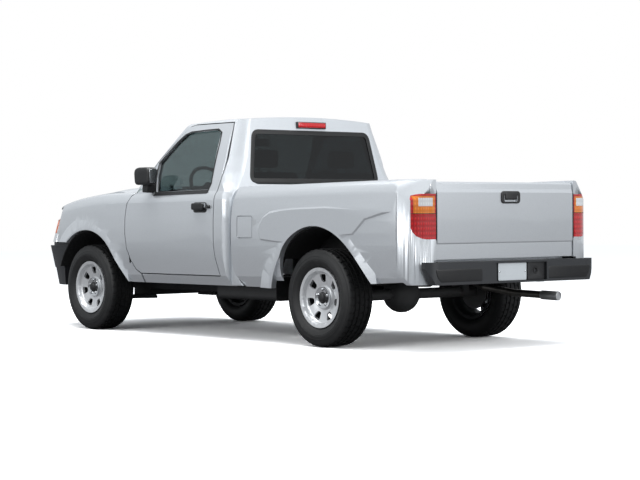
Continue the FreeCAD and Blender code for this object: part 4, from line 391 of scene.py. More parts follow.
class Bench:
    """Blender's own modelling tools, used one piece at a time."""

    merge_distance: float = 0.00002
    corner_angle: float = 50.0

    @staticmethod
    def clear() -> None:
        """Leave edit mode and deselect everything."""
        if bpy.context.mode != "OBJECT":
            bpy.ops.object.mode_set(mode="OBJECT")
        bpy.ops.object.select_all(action="DESELECT")

    @classmethod
    def pick(cls, piece: Piece) -> None:
        """Select one piece and make it the active one."""
        cls.clear()
        piece.select_set(True)
        bpy.context.view_layer.objects.active = piece

    @classmethod
    def settle(cls, piece: Piece, name: str) -> Piece:
        """Name a piece and put its place, turn and size into its mesh.

        Args:
            piece: The piece.
            name: Its name.

        Returns:
            The piece.
        """
        cls.pick(piece)
        bpy.ops.object.transform_apply(location=True, rotation=True, scale=True)
        piece.name = name
        piece.data.name = name
        return piece

    @classmethod
    def block(cls, name: str, low: Vector, high: Vector, round_mm: float, segments: int = 2) -> Piece:
        """Add a block between two corners, with its edges rounded.

        Args:
            name: Name of the piece.
            low: Lowest corner.
            high: Highest corner.
            round_mm: Radius of the edges.
            segments: Faces across each rounded edge.

        Returns:
            The piece.
        """
        cls.clear()
        low, high = (Vector([f(a, b) for a, b in zip(low, high)]) for f in (min, max))
        bpy.ops.mesh.primitive_cube_add(size=1, location=(low + high) / 2)
        piece = bpy.context.active_object
        piece.scale = high - low
        cls.settle(piece, name)
        if round_mm:
            with cls.editing(piece):
                bpy.ops.mesh.bevel(offset=round_mm / 1000, segments=segments, affect="EDGES")
        return cls.smooth(piece)

    @classmethod
    def drum(cls, name: str, start: Vector, end: Vector, radius_mm: float, vertices: int = 32,
             round_mm: float = 1.0) -> Piece:
        """Add a round bar between two points, with its end edges rounded.

        Args:
            name: Name of the piece.
            start: Middle of one end.
            end: Middle of the other end.
            radius_mm: Radius of the bar.
            vertices: Faces round the bar.
            round_mm: Radius of the end edges.

        Returns:
            The piece.
        """
        cls.clear()
        axis = end - start
        bpy.ops.mesh.primitive_cylinder_add(
            vertices=vertices, radius=radius_mm / 1000, depth=axis.length, location=(start + end) / 2,
            rotation=axis.to_track_quat("Z", "Y").to_euler())
        piece = cls.settle(bpy.context.active_object, name)
        if round_mm:
            cls.modify(piece, "BEVEL", width=round_mm / 1000, segments=2, limit_method="ANGLE",
                       angle_limit=math.radians(cls.corner_angle))
        return cls.smooth(piece)

    @classmethod
    def plate(cls, name: str, outlines: Sequence[Outline], facing: Facing, low: float, high: float,
              round_mm: float = 1.5, lean: Optional[Matrix] = None) -> Piece:
        """Cut a flat plate to an outline, with any further outlines as holes.

        Args:
            name: Name of the piece.
            outlines: Outer outline and holes, in millimetres of the facing's two directions.
            facing: Plane of the outlines.
            low: Place of one side of the plate along the facing's third direction.
            high: Place of its other side.
            round_mm: Radius of the edges.
            lean: Turn of the finished plate in the frame, if it leans.

        Returns:
            The piece.
        """
        cls.clear()
        half = abs(high - low) / 2000
        line = bpy.data.curves.new(name, "CURVE")
        line.dimensions = "2D"
        line.fill_mode = "BOTH"
        edge = min(round_mm / 1000, half)
        line.extrude = half - edge
        line.bevel_depth = edge
        line.offset = -edge
        line.bevel_resolution = 2
        for outline in outlines:
            spline = line.splines.new("POLY")
            spline.points.add(len(outline) - 1)
            for point, (u, v) in zip(spline.points, outline):
                point.co = (u / 1000, v / 1000, 0, 1)
            spline.use_cyclic_u = True
        cls.pick(link(name, line))
        bpy.ops.object.convert(target="MESH")
        piece = bpy.context.active_object
        middle = (low + high) / 2000
        offset = {Facing.SIDE: (FRONT_AXLE, middle, 0), Facing.REAR: (FRONT_AXLE + middle, 0, 0),
                  Facing.TOP: (FRONT_AXLE, 0, middle)}[facing]
        piece.matrix_world = (lean or Matrix.Identity(4)) @ Matrix.Translation(offset) @ TURNS[facing]
        cls.settle(piece, name)
        cls.clean(piece)
        return cls.smooth(piece)

    @classmethod
    def modify(cls, piece: Piece, kind: str, **settings: object) -> Piece:
        """Add a modifier and apply it.

        Args:
            piece: The piece.
            kind: Blender's name of the modifier type.
            settings: The modifier's settings.

        Returns:
            The piece.
        """
        cls.pick(piece)
        change = piece.modifiers.new(kind, kind)
        for key, value in settings.items():
            setattr(change, key, value)
        bpy.ops.object.modifier_apply(modifier=change.name)
        return piece

    @classmethod
    @contextmanager
    def editing(cls, piece: Piece, wanted: Optional[FaceTest] = None) -> Iterator[None]:
        """Keep a piece in edit mode with all of it selected, or only the faces that pass a test.

        Args:
            piece: The piece.
            wanted: Takes a face and says whether it is selected.

        Yields:
            Nothing, while the piece is in edit mode.
        """
        cls.pick(piece)
        if wanted:
            mesh = piece.data
            mesh.vertices.foreach_set("select", [False] * len(mesh.vertices))
            mesh.edges.foreach_set("select", [False] * len(mesh.edges))
            for face in mesh.polygons:
                face.select = wanted(face)
        bpy.ops.object.mode_set(mode="EDIT")
        if wanted:
            bpy.ops.mesh.select_mode(type="FACE")
        else:
            bpy.ops.mesh.select_all(action="SELECT")
        yield
        bpy.ops.object.mode_set(mode="OBJECT")

    @staticmethod
    def slice(place: Sequence[float], across: Sequence[float]) -> None:
        """Cut the faces of the piece in edit mode along a plane, and leave both halves.

        Args:
            place: A point of the plane.
            across: Normal of the plane.
        """
        bpy.ops.mesh.select_all(action="SELECT")
        bpy.ops.mesh.bisect(plane_co=place, plane_no=across)

    @classmethod
    def clean(cls, piece: Piece, outward: bool = True) -> Piece:
        """Merge doubled points and, unless outward is off, point the faces outward."""
        with cls.editing(piece):
            bpy.ops.mesh.remove_doubles(threshold=cls.merge_distance)
            if outward:
                bpy.ops.mesh.normals_make_consistent(inside=False)
        return piece

    @classmethod
    def smooth(cls, piece: Piece, angle: float = 35) -> Piece:
        """Shade a piece smooth across edges flatter than an angle in degrees."""
        cls.pick(piece)
        bpy.ops.object.shade_smooth_by_angle(angle=math.radians(angle))
        return piece

    @classmethod
    def join(cls, name: str, pieces: Sequence[Piece]) -> Piece:
        """Join pieces into one.

        Args:
            name: Name of the joined piece.
            pieces: The pieces, the first of which stays.

        Returns:
            The joined piece.
        """
        cls.clear()
        for piece in pieces:
            piece.select_set(True)
        bpy.context.view_layer.objects.active = pieces[0]
        bpy.ops.object.join()
        pieces[0].name = name
        pieces[0].data.name = name
        return pieces[0]

    @classmethod
    def spin_profile(cls, name: str, section: Outline, centre: Vector, steps: int) -> Piece:
        """Spin a closed section round the axle direction.

        Args:
            name: Name of the piece.
            section: Points as distance outward along the axle and radius, in millimetres.
            centre: Place of the wheel's middle.
            steps: Faces round the wheel.

        Returns:
            The piece.
        """
        cls.clear()
        bpy.ops.mesh.primitive_circle_add(vertices=len(section), radius=1)
        piece = bpy.context.active_object
        for vertex, (y, radius) in zip(piece.data.vertices, section):
            vertex.co = Vector((0, y / 1000, radius / 1000))
        with cls.editing(piece):
            bpy.ops.mesh.select_mode(type="VERT")
            bpy.ops.mesh.select_all(action="SELECT")
            bpy.ops.mesh.spin(steps=steps, angle=math.tau, center=(0, 0, 0), axis=(0, 1, 0))
        piece.location = centre
        cls.settle(piece, name)
        return cls.clean(piece)


def dress(piece: Piece, finish: Finish, body: str = "chassis") -> Piece:
    """Give a new piece its finish and the body that it moves with.

    Args:
        piece: The piece.
        finish: Its finish.
        body: Name of the body.

    Returns:
        The piece.
    """
    piece.data.materials.clear()
    piece.data.materials.append(finish.build())
    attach(piece, body)
    LOG.info("piece %s on %s", piece.name, body)
    return piece


def smooth_copy(node: str, finish: Finish, body: str = "chassis", angle: float = PANEL_ANGLE,
                soft: Optional[Callable[[Vector], bool]] = None) -> Piece:
    """Replace a node by a copy whose curved faces are shaded smooth.

    Args:
        node: Name of the node.
        finish: Finish of the copy.
        body: Name of the body.
        angle: Edges flatter than this are shaded smooth, in degrees.
        soft: Takes the middle of an edge and says whether it blends softly up to BLEND_ANGLE.

    Returns:
        The copy.
    """
    Bench.clear()
    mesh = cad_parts[node].data.copy()
    piece = link(node + "_panel", mesh)
    mesh.name = piece.name
    Bench.clean(piece, outward=False)
    with Bench.editing(piece):
        bpy.ops.mesh.dissolve_limited(angle_limit=math.radians(FLAT_ANGLE))
    Bench.smooth(piece, BLEND_ANGLE)
    creased = {edge.index for edge in mesh.edges if edge.use_edge_sharp}
    Bench.smooth(piece, angle)
    if soft:
        for edge in mesh.edges:
            first, second = (mesh.vertices[index].co for index in edge.vertices)
            if edge.use_edge_sharp and edge.index not in creased and soft((first + second) / 2):
                edge.use_edge_sharp = False
    Bench.modify(piece, "WEIGHTED_NORMAL", mode="FACE_AREA", weight=50, keep_sharp=True)
    dress(piece, finish, body)
    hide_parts(node)
    return piece


def paint_where(piece: Piece, finish: Finish, test: Placing) -> None:
    """Give part of a piece a second finish.

    Args:
        piece: The piece.
        finish: The second finish.
        test: Takes a face's middle and normal and says whether it is wanted.
    """
    piece.data.materials.append(finish.build())
    index = len(piece.data.materials) - 1
    for face in piece.data.polygons:
        if test(face.center, face.normal):
            face.material_index = index


def grow(outline: Outline, distance: float) -> Outline:
    """Move every edge of a closed outline outward.

    Args:
        outline: Points of the outline, either way round.
        distance: How far to move, in millimetres; less than 0 moves inward.

    Returns:
        The new points.
    """
    count = len(outline)
    area = sum(outline[i][0] * outline[(i + 1) % count][1] - outline[(i + 1) % count][0] * outline[i][1]
               for i in range(count))
    side = 1 if area > 0 else -1
    grown = []
    for index in range(count):
        before, here, after = (Vector(outline[(index + k) % count]) for k in (-1, 0, 1))
        first = (here - before).normalized()
        second = (after - here).normalized()
        out = (Vector((first.y, -first.x)) + Vector((second.y, -second.x))).normalized() * side
        share = max(0.5, out.dot(Vector((first.y, -first.x)) * side))
        moved = here + out * distance / share
        grown.append((moved.x, moved.y))
    return grown


def rectangle(u1: float, v1: float, u2: float, v2: float) -> Outline:
    """Draw a rectangle between two opposite corners."""
    return (u1, v1), (u2, v1), (u2, v2), (u1, v2)


def rounded(outline: Outline, radius: float, steps: int = 6) -> Outline:
    """Round the corners of a closed outline.

    Args:
        outline: Its corners.
        radius: How far from each corner the round starts, in millimetres.
        steps: Points in each round.

    Returns:
        The points of the rounded outline.
    """
    points = []
    count = len(outline)
    for index in range(count):
        before, here, after = (Vector(outline[(index + k) % count]) for k in (-1, 0, 1))
        start = here + (before - here).normalized() * min(radius, (before - here).length / 2.01)
        end = here + (after - here).normalized() * min(radius, (after - here).length / 2.01)
        for step in range(steps + 1):
            t = step / steps
            spot = start * (1 - t) ** 2 + here * 2 * t * (1 - t) + end * t ** 2
            points.append((spot.x, spot.y))
    return points


def skin_patch(name: str, outlines: Sequence[Outline], node: str, side: int, finish: Finish, proud: float,
               thick: float) -> Piece:
    """Lay a thin piece on the curved side of a node and let it ride on the body of the same name.

    Args:
        name: Name of the piece.
        outlines: Outer outline and holes, in millimetres along and up.
        node: Node that it lies on.
        side: 1 on the left and -1 on the right.
        finish: Its finish.
        proud: How far its outer face stands off the node, in millimetres.
        thick: Its thickness in millimetres.

    Returns:
        The piece.
    """
    piece = Bench.plate(name, outlines, Facing.SIDE, PATCH_START * side, PATCH_START * side, 0.0)
    heights = [v.co.z for v in piece.data.vertices]
    low, rise = min(heights), max(heights) - min(heights)
    steps = max(2, int(rise / PATCH_STEP))
    with Bench.editing(piece):
        for step in range(1, steps):
            Bench.slice((0, 0, low + rise * step / steps), (0, 0, 1))
    Bench.modify(piece, "SHRINKWRAP", wrap_method="PROJECT", use_project_y=True,
                 use_negative_direction=side > 0, use_positive_direction=side < 0,
                 target=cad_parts[node], offset=proud / 1000)
    if sum(face.normal.y for face in piece.data.polygons) * side < 0:
        piece.data.flip_normals()
    Bench.modify(piece, "SOLIDIFY", thickness=thick / 1000, offset=-1)
    Bench.smooth(piece, 30)
    return dress(piece, finish, node)


@dataclass
class Studio:
    """Floor, lamps, world and the camera of the photograph."""

    place: Point = (-10.7665, 8.791, 0.913)
    yaw: float = -40.16
    pitch: float = -0.82
    roll: float = -0.368
    lens: float = 101.64
    sensor: float = 36.0
    far_end: float = 200.0
    floor_size: float = 60.0
    floor_dark: Tuple[float, ...] = (0.13, 0.13, 0.135, 1)
    floor_light: Tuple[float, ...] = (0.15, 0.15, 0.155, 1)
    floor_seen: Tuple[float, ...] = (1.6, 1.6, 1.6, 1)
    sky: Tuple[float, ...] = (0.92, 0.96, 1.0, 1)
    sky_light: float = 0.66
    boxes: Sequence[Tuple[str, Point, Point, Tuple[float, float], float]] = (
        ("overhead_box", (-0.5, 0.5, 6.5), (0, 0, 0.6), (7.0, 4.0), 820),
        ("left_box", (-1.0, 8.5, 3.4), (0, 0, 0.7), (8.0, 2.6), 250),
        ("rear_box", (-9.0, -1.5, 3.2), (-2.2, 0, 0.8), (4.0, 3.0), 300))

    def camera(self) -> None:
        """Put the camera behind the left rear corner, low, as the photograph has it."""
        yaw, pitch, roll = (math.radians(a) for a in (self.yaw, self.pitch, self.roll))
        ahead = Vector((math.cos(pitch) * math.cos(yaw), math.cos(pitch) * math.sin(yaw), math.sin(pitch)))
        right = ahead.cross(Vector((0, 0, 1))).normalized()
        up = right.cross(ahead)
        right, up = (right * math.cos(roll) + up * math.sin(roll),
                     up * math.cos(roll) - right * math.sin(roll))
        data = bpy.data.cameras.new("camera")
        data.lens = self.lens
        data.sensor_width = self.sensor
        data.clip_end = self.far_end
        camera = link("camera", data)
        turn = Matrix((right, up, -ahead)).transposed().to_4x4()
        camera.matrix_world = Matrix.Translation(self.place) @ turn
        bpy.context.scene.camera = camera

    def lamp(self, name: str, place: Point, target: Point, size: Tuple[float, float], power: float) -> None:
        """Hang one soft box.

        Args:
            name: Name of the lamp.
            place: Where it hangs.
            target: Where it points.
            size: Its width and height in metres.
            power: Its power in watts.
        """
        data = bpy.data.lights.new(name, "AREA")
        data.shape = "RECTANGLE"
        data.size, data.size_y = size
        data.energy = power
        lamp = link(name, data)
        lamp.location = place
        lamp.rotation_euler = (Vector(target) - Vector(place)).to_track_quat("-Z", "Y").to_euler()

    def world(self) -> None:
        """Light the scene from all round, with a white background behind it."""
        world = bpy.data.worlds.new("studio")
        bpy.context.scene.world = world
        tree = fresh_tree(world)
        path = add_node(tree, "ShaderNodeLightPath")
        seen = add_node(tree, "ShaderNodeMath", {"operation": "MAXIMUM"},
                        {0: path.outputs["Is Camera Ray"], 1: path.outputs["Is Transmission Ray"]})
        ambient = add_node(tree, "ShaderNodeBackground", {"Color": self.sky, "Strength": self.sky_light})
        white = add_node(tree, "ShaderNodeBackground", {"Color": (1, 1, 1, 1), "Strength": 1.0})
        mix = add_node(tree, "ShaderNodeMixShader", links={
            0: seen.outputs[0], 1: ambient.outputs[0], 2: white.outputs[0]})
        add_node(tree, "ShaderNodeOutputWorld", links={0: mix.outputs[0]})

    def floor(self) -> None:
        """Lay the pale floor, which keeps the object's shadow."""
        Bench.clear()
        bpy.ops.mesh.primitive_plane_add(size=self.floor_size, location=(0, 0, -0.001))
        piece = Bench.settle(bpy.context.active_object, "studio_floor")
        material = bpy.data.materials.new("pale_studio_floor")
        tree = fresh_tree(material)
        place = add_node(tree, "ShaderNodeTexCoord").outputs["Object"]
        cloud = add_node(tree, "ShaderNodeTexNoise", {"Scale": 0.6}, {"Vector": place})
        tone = add_node(tree, "ShaderNodeMix", {
            "data_type": "RGBA", 6: self.floor_dark, 7: self.floor_light}, {0: cloud.outputs["Fac"]})
        path = add_node(tree, "ShaderNodeLightPath")
        seen = add_node(tree, "ShaderNodeMix", {"data_type": "RGBA", 7: self.floor_seen},
                        {0: path.outputs["Is Camera Ray"], 6: tone.outputs[2]})
        matt = add_node(tree, "ShaderNodeBsdfDiffuse", links={"Color": seen.outputs[2]})
        add_node(tree, "ShaderNodeOutputMaterial", links={0: matt.outputs[0]})
        piece.data.materials.append(material)

    def build(self) -> None:
        """Set up the whole studio."""
        self.camera()
        self.world()
        self.floor()
        for box in self.boxes:
            self.lamp(*box)
        bpy.context.scene.view_settings.view_transform = "Standard"


@dataclass
class Underbody:
    """Chassis, engine, axle and the other pieces below the floor."""

    finishes: Dict[str, Finish] = field(default_factory=lambda: {
        "frame_rails": CHASSIS_COAT, "engine_block": CAST_ALLOY, "drive_shaft": CHASSIS_COAT,
        "rear_axle_housing": CAST_IRON, "leaf_springs": SPRING_STEEL, "exhaust_pipe": EXHAUST_STEEL,
        "fuel_tank": TANK_PLASTIC, "wheel_liners": LINER_FELT, "front_suspension": CHASSIS_COAT,
        "radiator_support": CHASSIS_COAT})

    def build(self) -> None:
        """Dress the nodes under the body."""
        for node, finish in self.finishes.items():
            smooth_copy(node, finish)
        for side, _ in SIDES:
            smooth_copy("steering_knuckle_" + side, CAST_IRON, "knuckle_" + side)


@dataclass
class Wheel:
    """One wheel: the painted rim, its cap and nuts, and the treaded tyre."""

    end: str
    side: str
    sign: int
    centre: Tuple[float, float]
    radius: float = 340.0
    half: float = 117.0
    steps: int = 120
    grooves: Sequence[float] = (-60, -22, 22, 60)
    groove_depth: float = 8.0
    tread_from: float = 322.0
    sipe_rim: float = 0.0012
    sipe_depth: float = 0.005
    nuts: int = 5
    nut_circle: float = 56.0
    barrel: float = 0.205

    @property
    def place(self) -> Vector:
        """Middle of the wheel."""
        return at(*self.centre, self.radius)

    @property
    def body(self) -> str:
        """Name of the wheel's body."""
        return "wheel_" + self.label

    @property
    def label(self) -> str:
        """End and side, as the names of the nodes have them."""
        return self.end + "_" + self.side

    def spin(self, name: str, section: Outline, steps: int) -> Piece:
        """Spin a section, drawn outward and up, round this wheel's axle.

        Args:
            name: First part of the piece's name.
            section: Points as distance outward and radius.
            steps: Faces round the wheel.

        Returns:
            The piece.
        """
        return Bench.spin_profile(name + "_" + self.label, [(self.sign * y, r) for y, r in section],
                                  self.place, steps)

    def section(self) -> Outline:
        """Draw the tyre's section, with a raised ring on the side that faces out."""
        r, half = self.radius, self.half
        tread = []
        for middle in self.grooves:
            tread += [(middle - 5, r - 1.5), (middle - 3.5, r - self.groove_depth),
                      (middle + 3.5, r - self.groove_depth), (middle + 5, r - 1.5)]
        inner_wall = [(-78, 196), (-84, 206), (-106, 226), (-half + 3, 250), (-half, 268),
                      (-half + 3, 292), (-106, 318), (-98, 330), (-88, r - 3.5)]
        outer_wall = [(88, r - 3.5), (98, 330), (104, 320), (105, 317), (107, 316), (half - 4, 292),
                      (half - 1, 286), (half - 2, 283), (half, 278), (half, 262), (half - 2.5, 259),
                      (half - 1.5, 255), (half - 6, 246), (106, 232), (103, 228), (96, 218), (84, 206),
                      (78, 196)]
        hollow = [(70, 214), (86, 262), (84, 300), (0, 316), (-84, 300), (-86, 262), (-70, 214)]
        return inner_wall + tread + outer_wall + hollow

    def in_sipe(self, face: bpy.types.MeshPolygon) -> bool:
        """Say whether a face of the tread is the floor of a cross groove."""
        spot = face.center - self.place
        if math.hypot(spot.x, spot.z) * 1000 < self.tread_from:
            return False
        row = int(math.atan2(spot.x, spot.z) / math.tau * self.steps + self.steps) % 3
        off = abs(spot.y * 1000)
        if 66 < off < 100:
            return row == 0
        if 28 < off < 54:
            return row == (1 if spot.y > 0 else 2)
        return off < 16 and row == 0

    def tyre(self) -> None:
        """Spin the tyre's section and sink the cross grooves into its ribs."""
        piece = self.spin("tread_tyre", self.section(), self.steps)
        with Bench.editing(piece, self.in_sipe):
            bpy.ops.mesh.inset(thickness=self.sipe_rim, use_individual=False)
            bpy.ops.mesh.extrude_region_shrink_fatten(
                MESH_OT_extrude_region={}, TRANSFORM_OT_shrink_fatten={"value": -self.sipe_depth})
        dress(Bench.smooth(piece, 30), TYRE_RUBBER, self.body)
        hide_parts("tyre_" + self.label)

    def out(self, y: float, radius: float, angle: float) -> Vector:
        """Find a place on the wheel.

        Args:
            y: Distance outward from the wheel's middle.
            radius: Distance from the axle line.
            angle: Angle round the axle, in degrees.

        Returns:
            The place in the frame.
        """
        turn = math.radians(angle)
        return self.place + Vector((radius * math.cos(turn), self.sign * y, radius * math.sin(turn))) / 1000

    def shaded_barrel(self, spot: Vector, normal: Vector) -> bool:
        """Say whether a face of the rim lies inside the barrel, behind the disc, where it is painted black as
        painted shade.
        """
        radial = Vector((spot.x - self.place.x, 0, spot.z - self.place.z))
        depth = (spot.y - self.place.y) * self.sign
        behind = normal.y * self.sign < -0.3
        return radial.length < self.barrel and depth < 0.04 and (behind or normal.dot(radial) < 0)

    def fittings(self) -> None:
        """Add the dished hub, the centre cap, the nuts round it and the valve."""
        dish = self.spin("hub_dish", [(58, 38), (65, 40), (66, 60), (72, 68), (72, 74), (66, 77),
                                      (58, 74)], 48)
        dress(Bench.smooth(dish, 40), CHROME, self.body)
        cap = self.spin("centre_cap", [(56, 0), (56, 40), (66, 41), (69, 37), (70, 33), (80, 30), (84, 26),
                                       (86, 12), (86, 0)], 40)
        dress(Bench.smooth(cap, 40), BLACK_PLASTIC, self.body)
        nuts = [Bench.drum("nut", *(self.out(y, self.nut_circle, 360 / self.nuts * index + 18)
                                    for y in (48, 76)), 10.5, 6, 3) for index in range(self.nuts)]
        dress(Bench.join("wheel_nuts_" + self.label, nuts), CHROME, self.body)
        valve = Bench.drum("valve_" + self.label, self.out(20, 178, -70), self.out(46, 171, -70), 3.6,
                           12, 1.5)
        dress(valve, SEAL_RUBBER, self.body)

    def build(self) -> None:
        """Build the wheel."""
        self.tyre()
        rim = smooth_copy("rim_" + self.label, WHEEL_PAINT, self.body, 30)
        # Painted shade: the inner barrel behind the disc gets the black chassis coat.
        paint_where(rim, CHASSIS_COAT, self.shaded_barrel)
        self.fittings()


@dataclass
class Cab:
    """Cab shell with its glass, stop lamp, rear feet and wipers."""

    crease: float = 9.0
    glass_foot: Tuple[float, float] = (-1840, 1100)
    glass_lean: float = math.atan2(92, 620)
    rear_glass: Outline = ((-633, 1150), (633, 1150), (569, 1539), (-569, 1539))
    foot_outline: Outline = ((-1880, 640), (-1906, 560), (-1925, 480), (-1998, 402), (-1880, 402))

    @staticmethod
    def inner(spot: Vector, normal: Vector) -> bool:
        """Say whether a face of the shell looks into the cabin."""
        low, middle, high = at(-1800, -765, 470), at(-1250, 0, 1050), at(-560, 765, 1612)
        return all(a < c < b for a, c, b in zip(low, spot, high)) and normal.dot(middle - spot) > 0

    def shell(self) -> None:
        """Dress the shell: lacquer outside, grained trim inside."""
        shell = smooth_copy("cab_shell", BODY_PAINT, angle=self.crease)
        paint_where(shell, VINYL, self.inner)

    def rear_window(self) -> None:
        """Lay the rubber seal round the rear window."""
        smooth_copy("rear_window", REAR_GLASS)
        x, foot = self.glass_foot
        base = at(x, 0, foot)
        turn = (Matrix.Translation(base) @ Matrix.Rotation(self.glass_lean, 4, "Y")
                @ Matrix.Translation(-base))
        stretch = 1 / math.cos(self.glass_lean)
        outline = rounded([(y, foot + (z - foot) * stretch) for y, z in self.rear_glass], 60)
        ring = Bench.plate("rear_window_seal", [grow(outline, 5), grow(outline, -30)], Facing.REAR,
                           x - 1.8, x + 1.5, 1.0, lean=turn)
        dress(ring, SEAL_RUBBER)

    @staticmethod
    def stop_lamp() -> None:
        """Set the raised stop lamp above the rear window."""
        housing = Bench.block("stop_lamp_housing", at(-1786, -142, 1560), at(-1756, 142, 1610), 6, 3)
        dress(housing, BLACK_PLASTIC)
        lens = Bench.block("stop_lamp_lens", at(-1790, -134, 1566), at(-1770, 134, 1604), 5, 3)
        dress(lens, RED_LAMP)

    def feet(self) -> None:
        """Carry the cab's rear feet back to the slanting front edges of the bed."""
        for side, sign in SIDES:
            panel = Bench.plate("cab_foot_" + side, [self.foot_outline], Facing.SIDE,
                                *sorted((sign * 806, sign * 838)), 2)
            dress(panel, BODY_PAINT)

    @staticmethod
    def wipers() -> None:
        """Lay two wipers on the foot of the windshield."""
        for name, pivot, tip in (("left", 470, 20), ("right", -130, -590)):
            arm = Bench.drum("wiper_arm", at(-636, pivot, 1108), at(-676 + 0.02 * abs(tip), tip, 1150),
                             5, 12, 1)
            cap = Bench.drum("wiper_pivot", at(-632, pivot, 1092), at(-636, pivot, 1116), 13, 20, 3)
            blade = Bench.drum("wiper_blade", at(-668, pivot - 60, 1128), at(-652, tip - 90, 1150),
                               6, 8, 1)
            dress(Bench.join("wiper_" + name, [arm, cap, blade]), BLACK_PLASTIC)

    def build(self) -> None:
        """Build the cab."""
        self.shell()
        self.rear_window()
        self.stop_lamp()
        self.feet()
        self.wipers()
        smooth_copy("windshield", CLEAR_GLASS)


@dataclass
class Door:
    """One door with its glass, seals, mirror, handle and lock."""

    side: str
    sign: int
    crease: float = 9.0
    window: Outline = ((-925, 1090), (-893, 1200), (-889, 1309), (-968, 1386), (-1052, 1463), (-1125, 1516),
                       (-1195, 1534), (-1380, 1541), (-1528, 1543), (-1577, 1519), (-1590, 1450),
                       (-1600, 1263), (-1606, 1144), (-1585, 1099), (-1280, 1095))
    belt: Outline = ((-905, 1062), (-917, 1086), (-1588, 1090), (-1602, 1084), (-1586, 1072))
    sail: Outline = ((-806, 1096), (-908, 1092), (-880, 1200), (-874, 1270), (-862, 1250))
    housing: Outline = ((-806, 1160), (-798, 1240), (-812, 1268), (-850, 1278), (-960, 1278), (-986, 1268),
                        (-994, 1240), (-988, 1162), (-972, 1146), (-826, 1144))
    mirror_arm: Outline = ((-842, 1088), (-908, 1084), (-914, 1156), (-848, 1156))
    mirror_face: Outline = ((885, 1160), (945, 1160), (948, 1262), (885, 1266))
    lock: Tuple[float, float] = (-1642, 972)

    @property
    def body(self) -> str:
        """Name of the door's body."""
        return "door_" + self.side

    def across(self, x: float, y: float, z: float) -> Vector:
        """Find a place on this side, with y measured outward from the middle."""
        return at(x, self.sign * y, z)

    def slab(self, name: str, outline: Outline, inner: float, outer: float, round_mm: float) -> Piece:
        """Cut a plate that stands upright along the door.

        Args:
            name: First part of its name.
            outline: Its outline along and up.
            inner: Distance of its inner side from the middle.
            outer: Distance of its outer side from the middle.
            round_mm: Radius of its edges.

        Returns:
            The piece.
        """
        return Bench.plate(name + self.side, [outline], Facing.SIDE,
                           *sorted((self.sign * inner, self.sign * outer)), round_mm)

    def on_skin(self, name: str, outlines: Sequence[Outline], finish: Finish, proud: float,
                thick: float) -> None:
        """Lay a thin piece on the door's skin.

        Args:
            name: First part of its name.
            outlines: Outer outline and holes.
            finish: Its finish.
            proud: How far it stands off the skin.
            thick: Its thickness.
        """
        skin_patch(name + self.side, outlines, self.body, self.sign, finish, proud, thick)

    def skin(self) -> None:
        """Dress the door: lacquer outside, trim inside."""
        door = smooth_copy(self.body, BODY_PAINT, self.body, self.crease)
        paint_where(door, VINYL, lambda spot, normal: (
            normal.y * self.sign < -0.5 and abs(spot.y) < 0.84))

    def seals(self) -> None:
        """Lay the black window channel and the belt strip."""
        smooth_copy("door_glass_" + self.side, TINTED_GLASS, self.body)
        self.on_skin("window_channel_", [grow(self.window, 12), grow(self.window, 1.2)], SEAL_RUBBER, 1.6, 4)
        self.on_skin("belt_strip_", [self.belt], BLACK_PLASTIC, 4, 4)

    def mirror(self) -> None:
        """Model the mirror housing, its arm, the sail triangle and the glass."""
        self.on_skin("mirror_sail_", [self.sail], BLACK_PLASTIC, 3, 3)
        housing = self.slab("mirror_housing_", rounded(self.housing, 14, 3), 868, 960, 16)
        arm = self.slab("mirror_arm_", rounded(self.mirror_arm, 10, 3), 842, 912, 8)
        dress(Bench.join(housing.name, [housing, arm]), BLACK_PLASTIC, self.body)
        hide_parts("mirror_" + self.side)
        face = rounded([(self.sign * y, z) for y, z in self.mirror_face], 10, 3)
        glass = Bench.plate("mirror_glass_" + self.side, [face], Facing.REAR, -996, -991, 1.0)
        dress(glass, MIRROR_GLASS, self.body)

    def handle(self) -> None:
        """Set the paddle handle in its cup, with the lock behind it."""
        cup = rounded([(-1446, 930), (-1446, 1006), (-1612, 1006), (-1612, 930)], 26, 5)
        self.on_skin("handle_cup_", [cup], BLACK_PLASTIC, 2.2, 3)
        paddle = rounded([(-1458, 950), (-1458, 1000), (-1598, 1000), (-1598, 950)], 16, 4)
        dress(self.slab("door_handle_", paddle, 880, 902, 7), BLACK_PLASTIC, self.body)
        x, z = self.lock
        lock = Bench.drum("door_lock_" + self.side, self.across(x, 862, z), self.across(x, 884, z),
                          13, 28, 2.5)
        dress(lock, BLACK_PLASTIC, self.body)

    def armrest(self) -> None:
        """Add the armrest on the inner trim."""
        rest = Bench.block("armrest_" + self.side, self.across(-1500, 740, 800),
                           self.across(-1010, 806, 850), 14, 3)
        dress(rest, VINYL, self.body)

    def build(self) -> None:
        """Build the door."""
        self.skin()
        self.seals()
        self.mirror()
        self.handle()
        self.armrest()


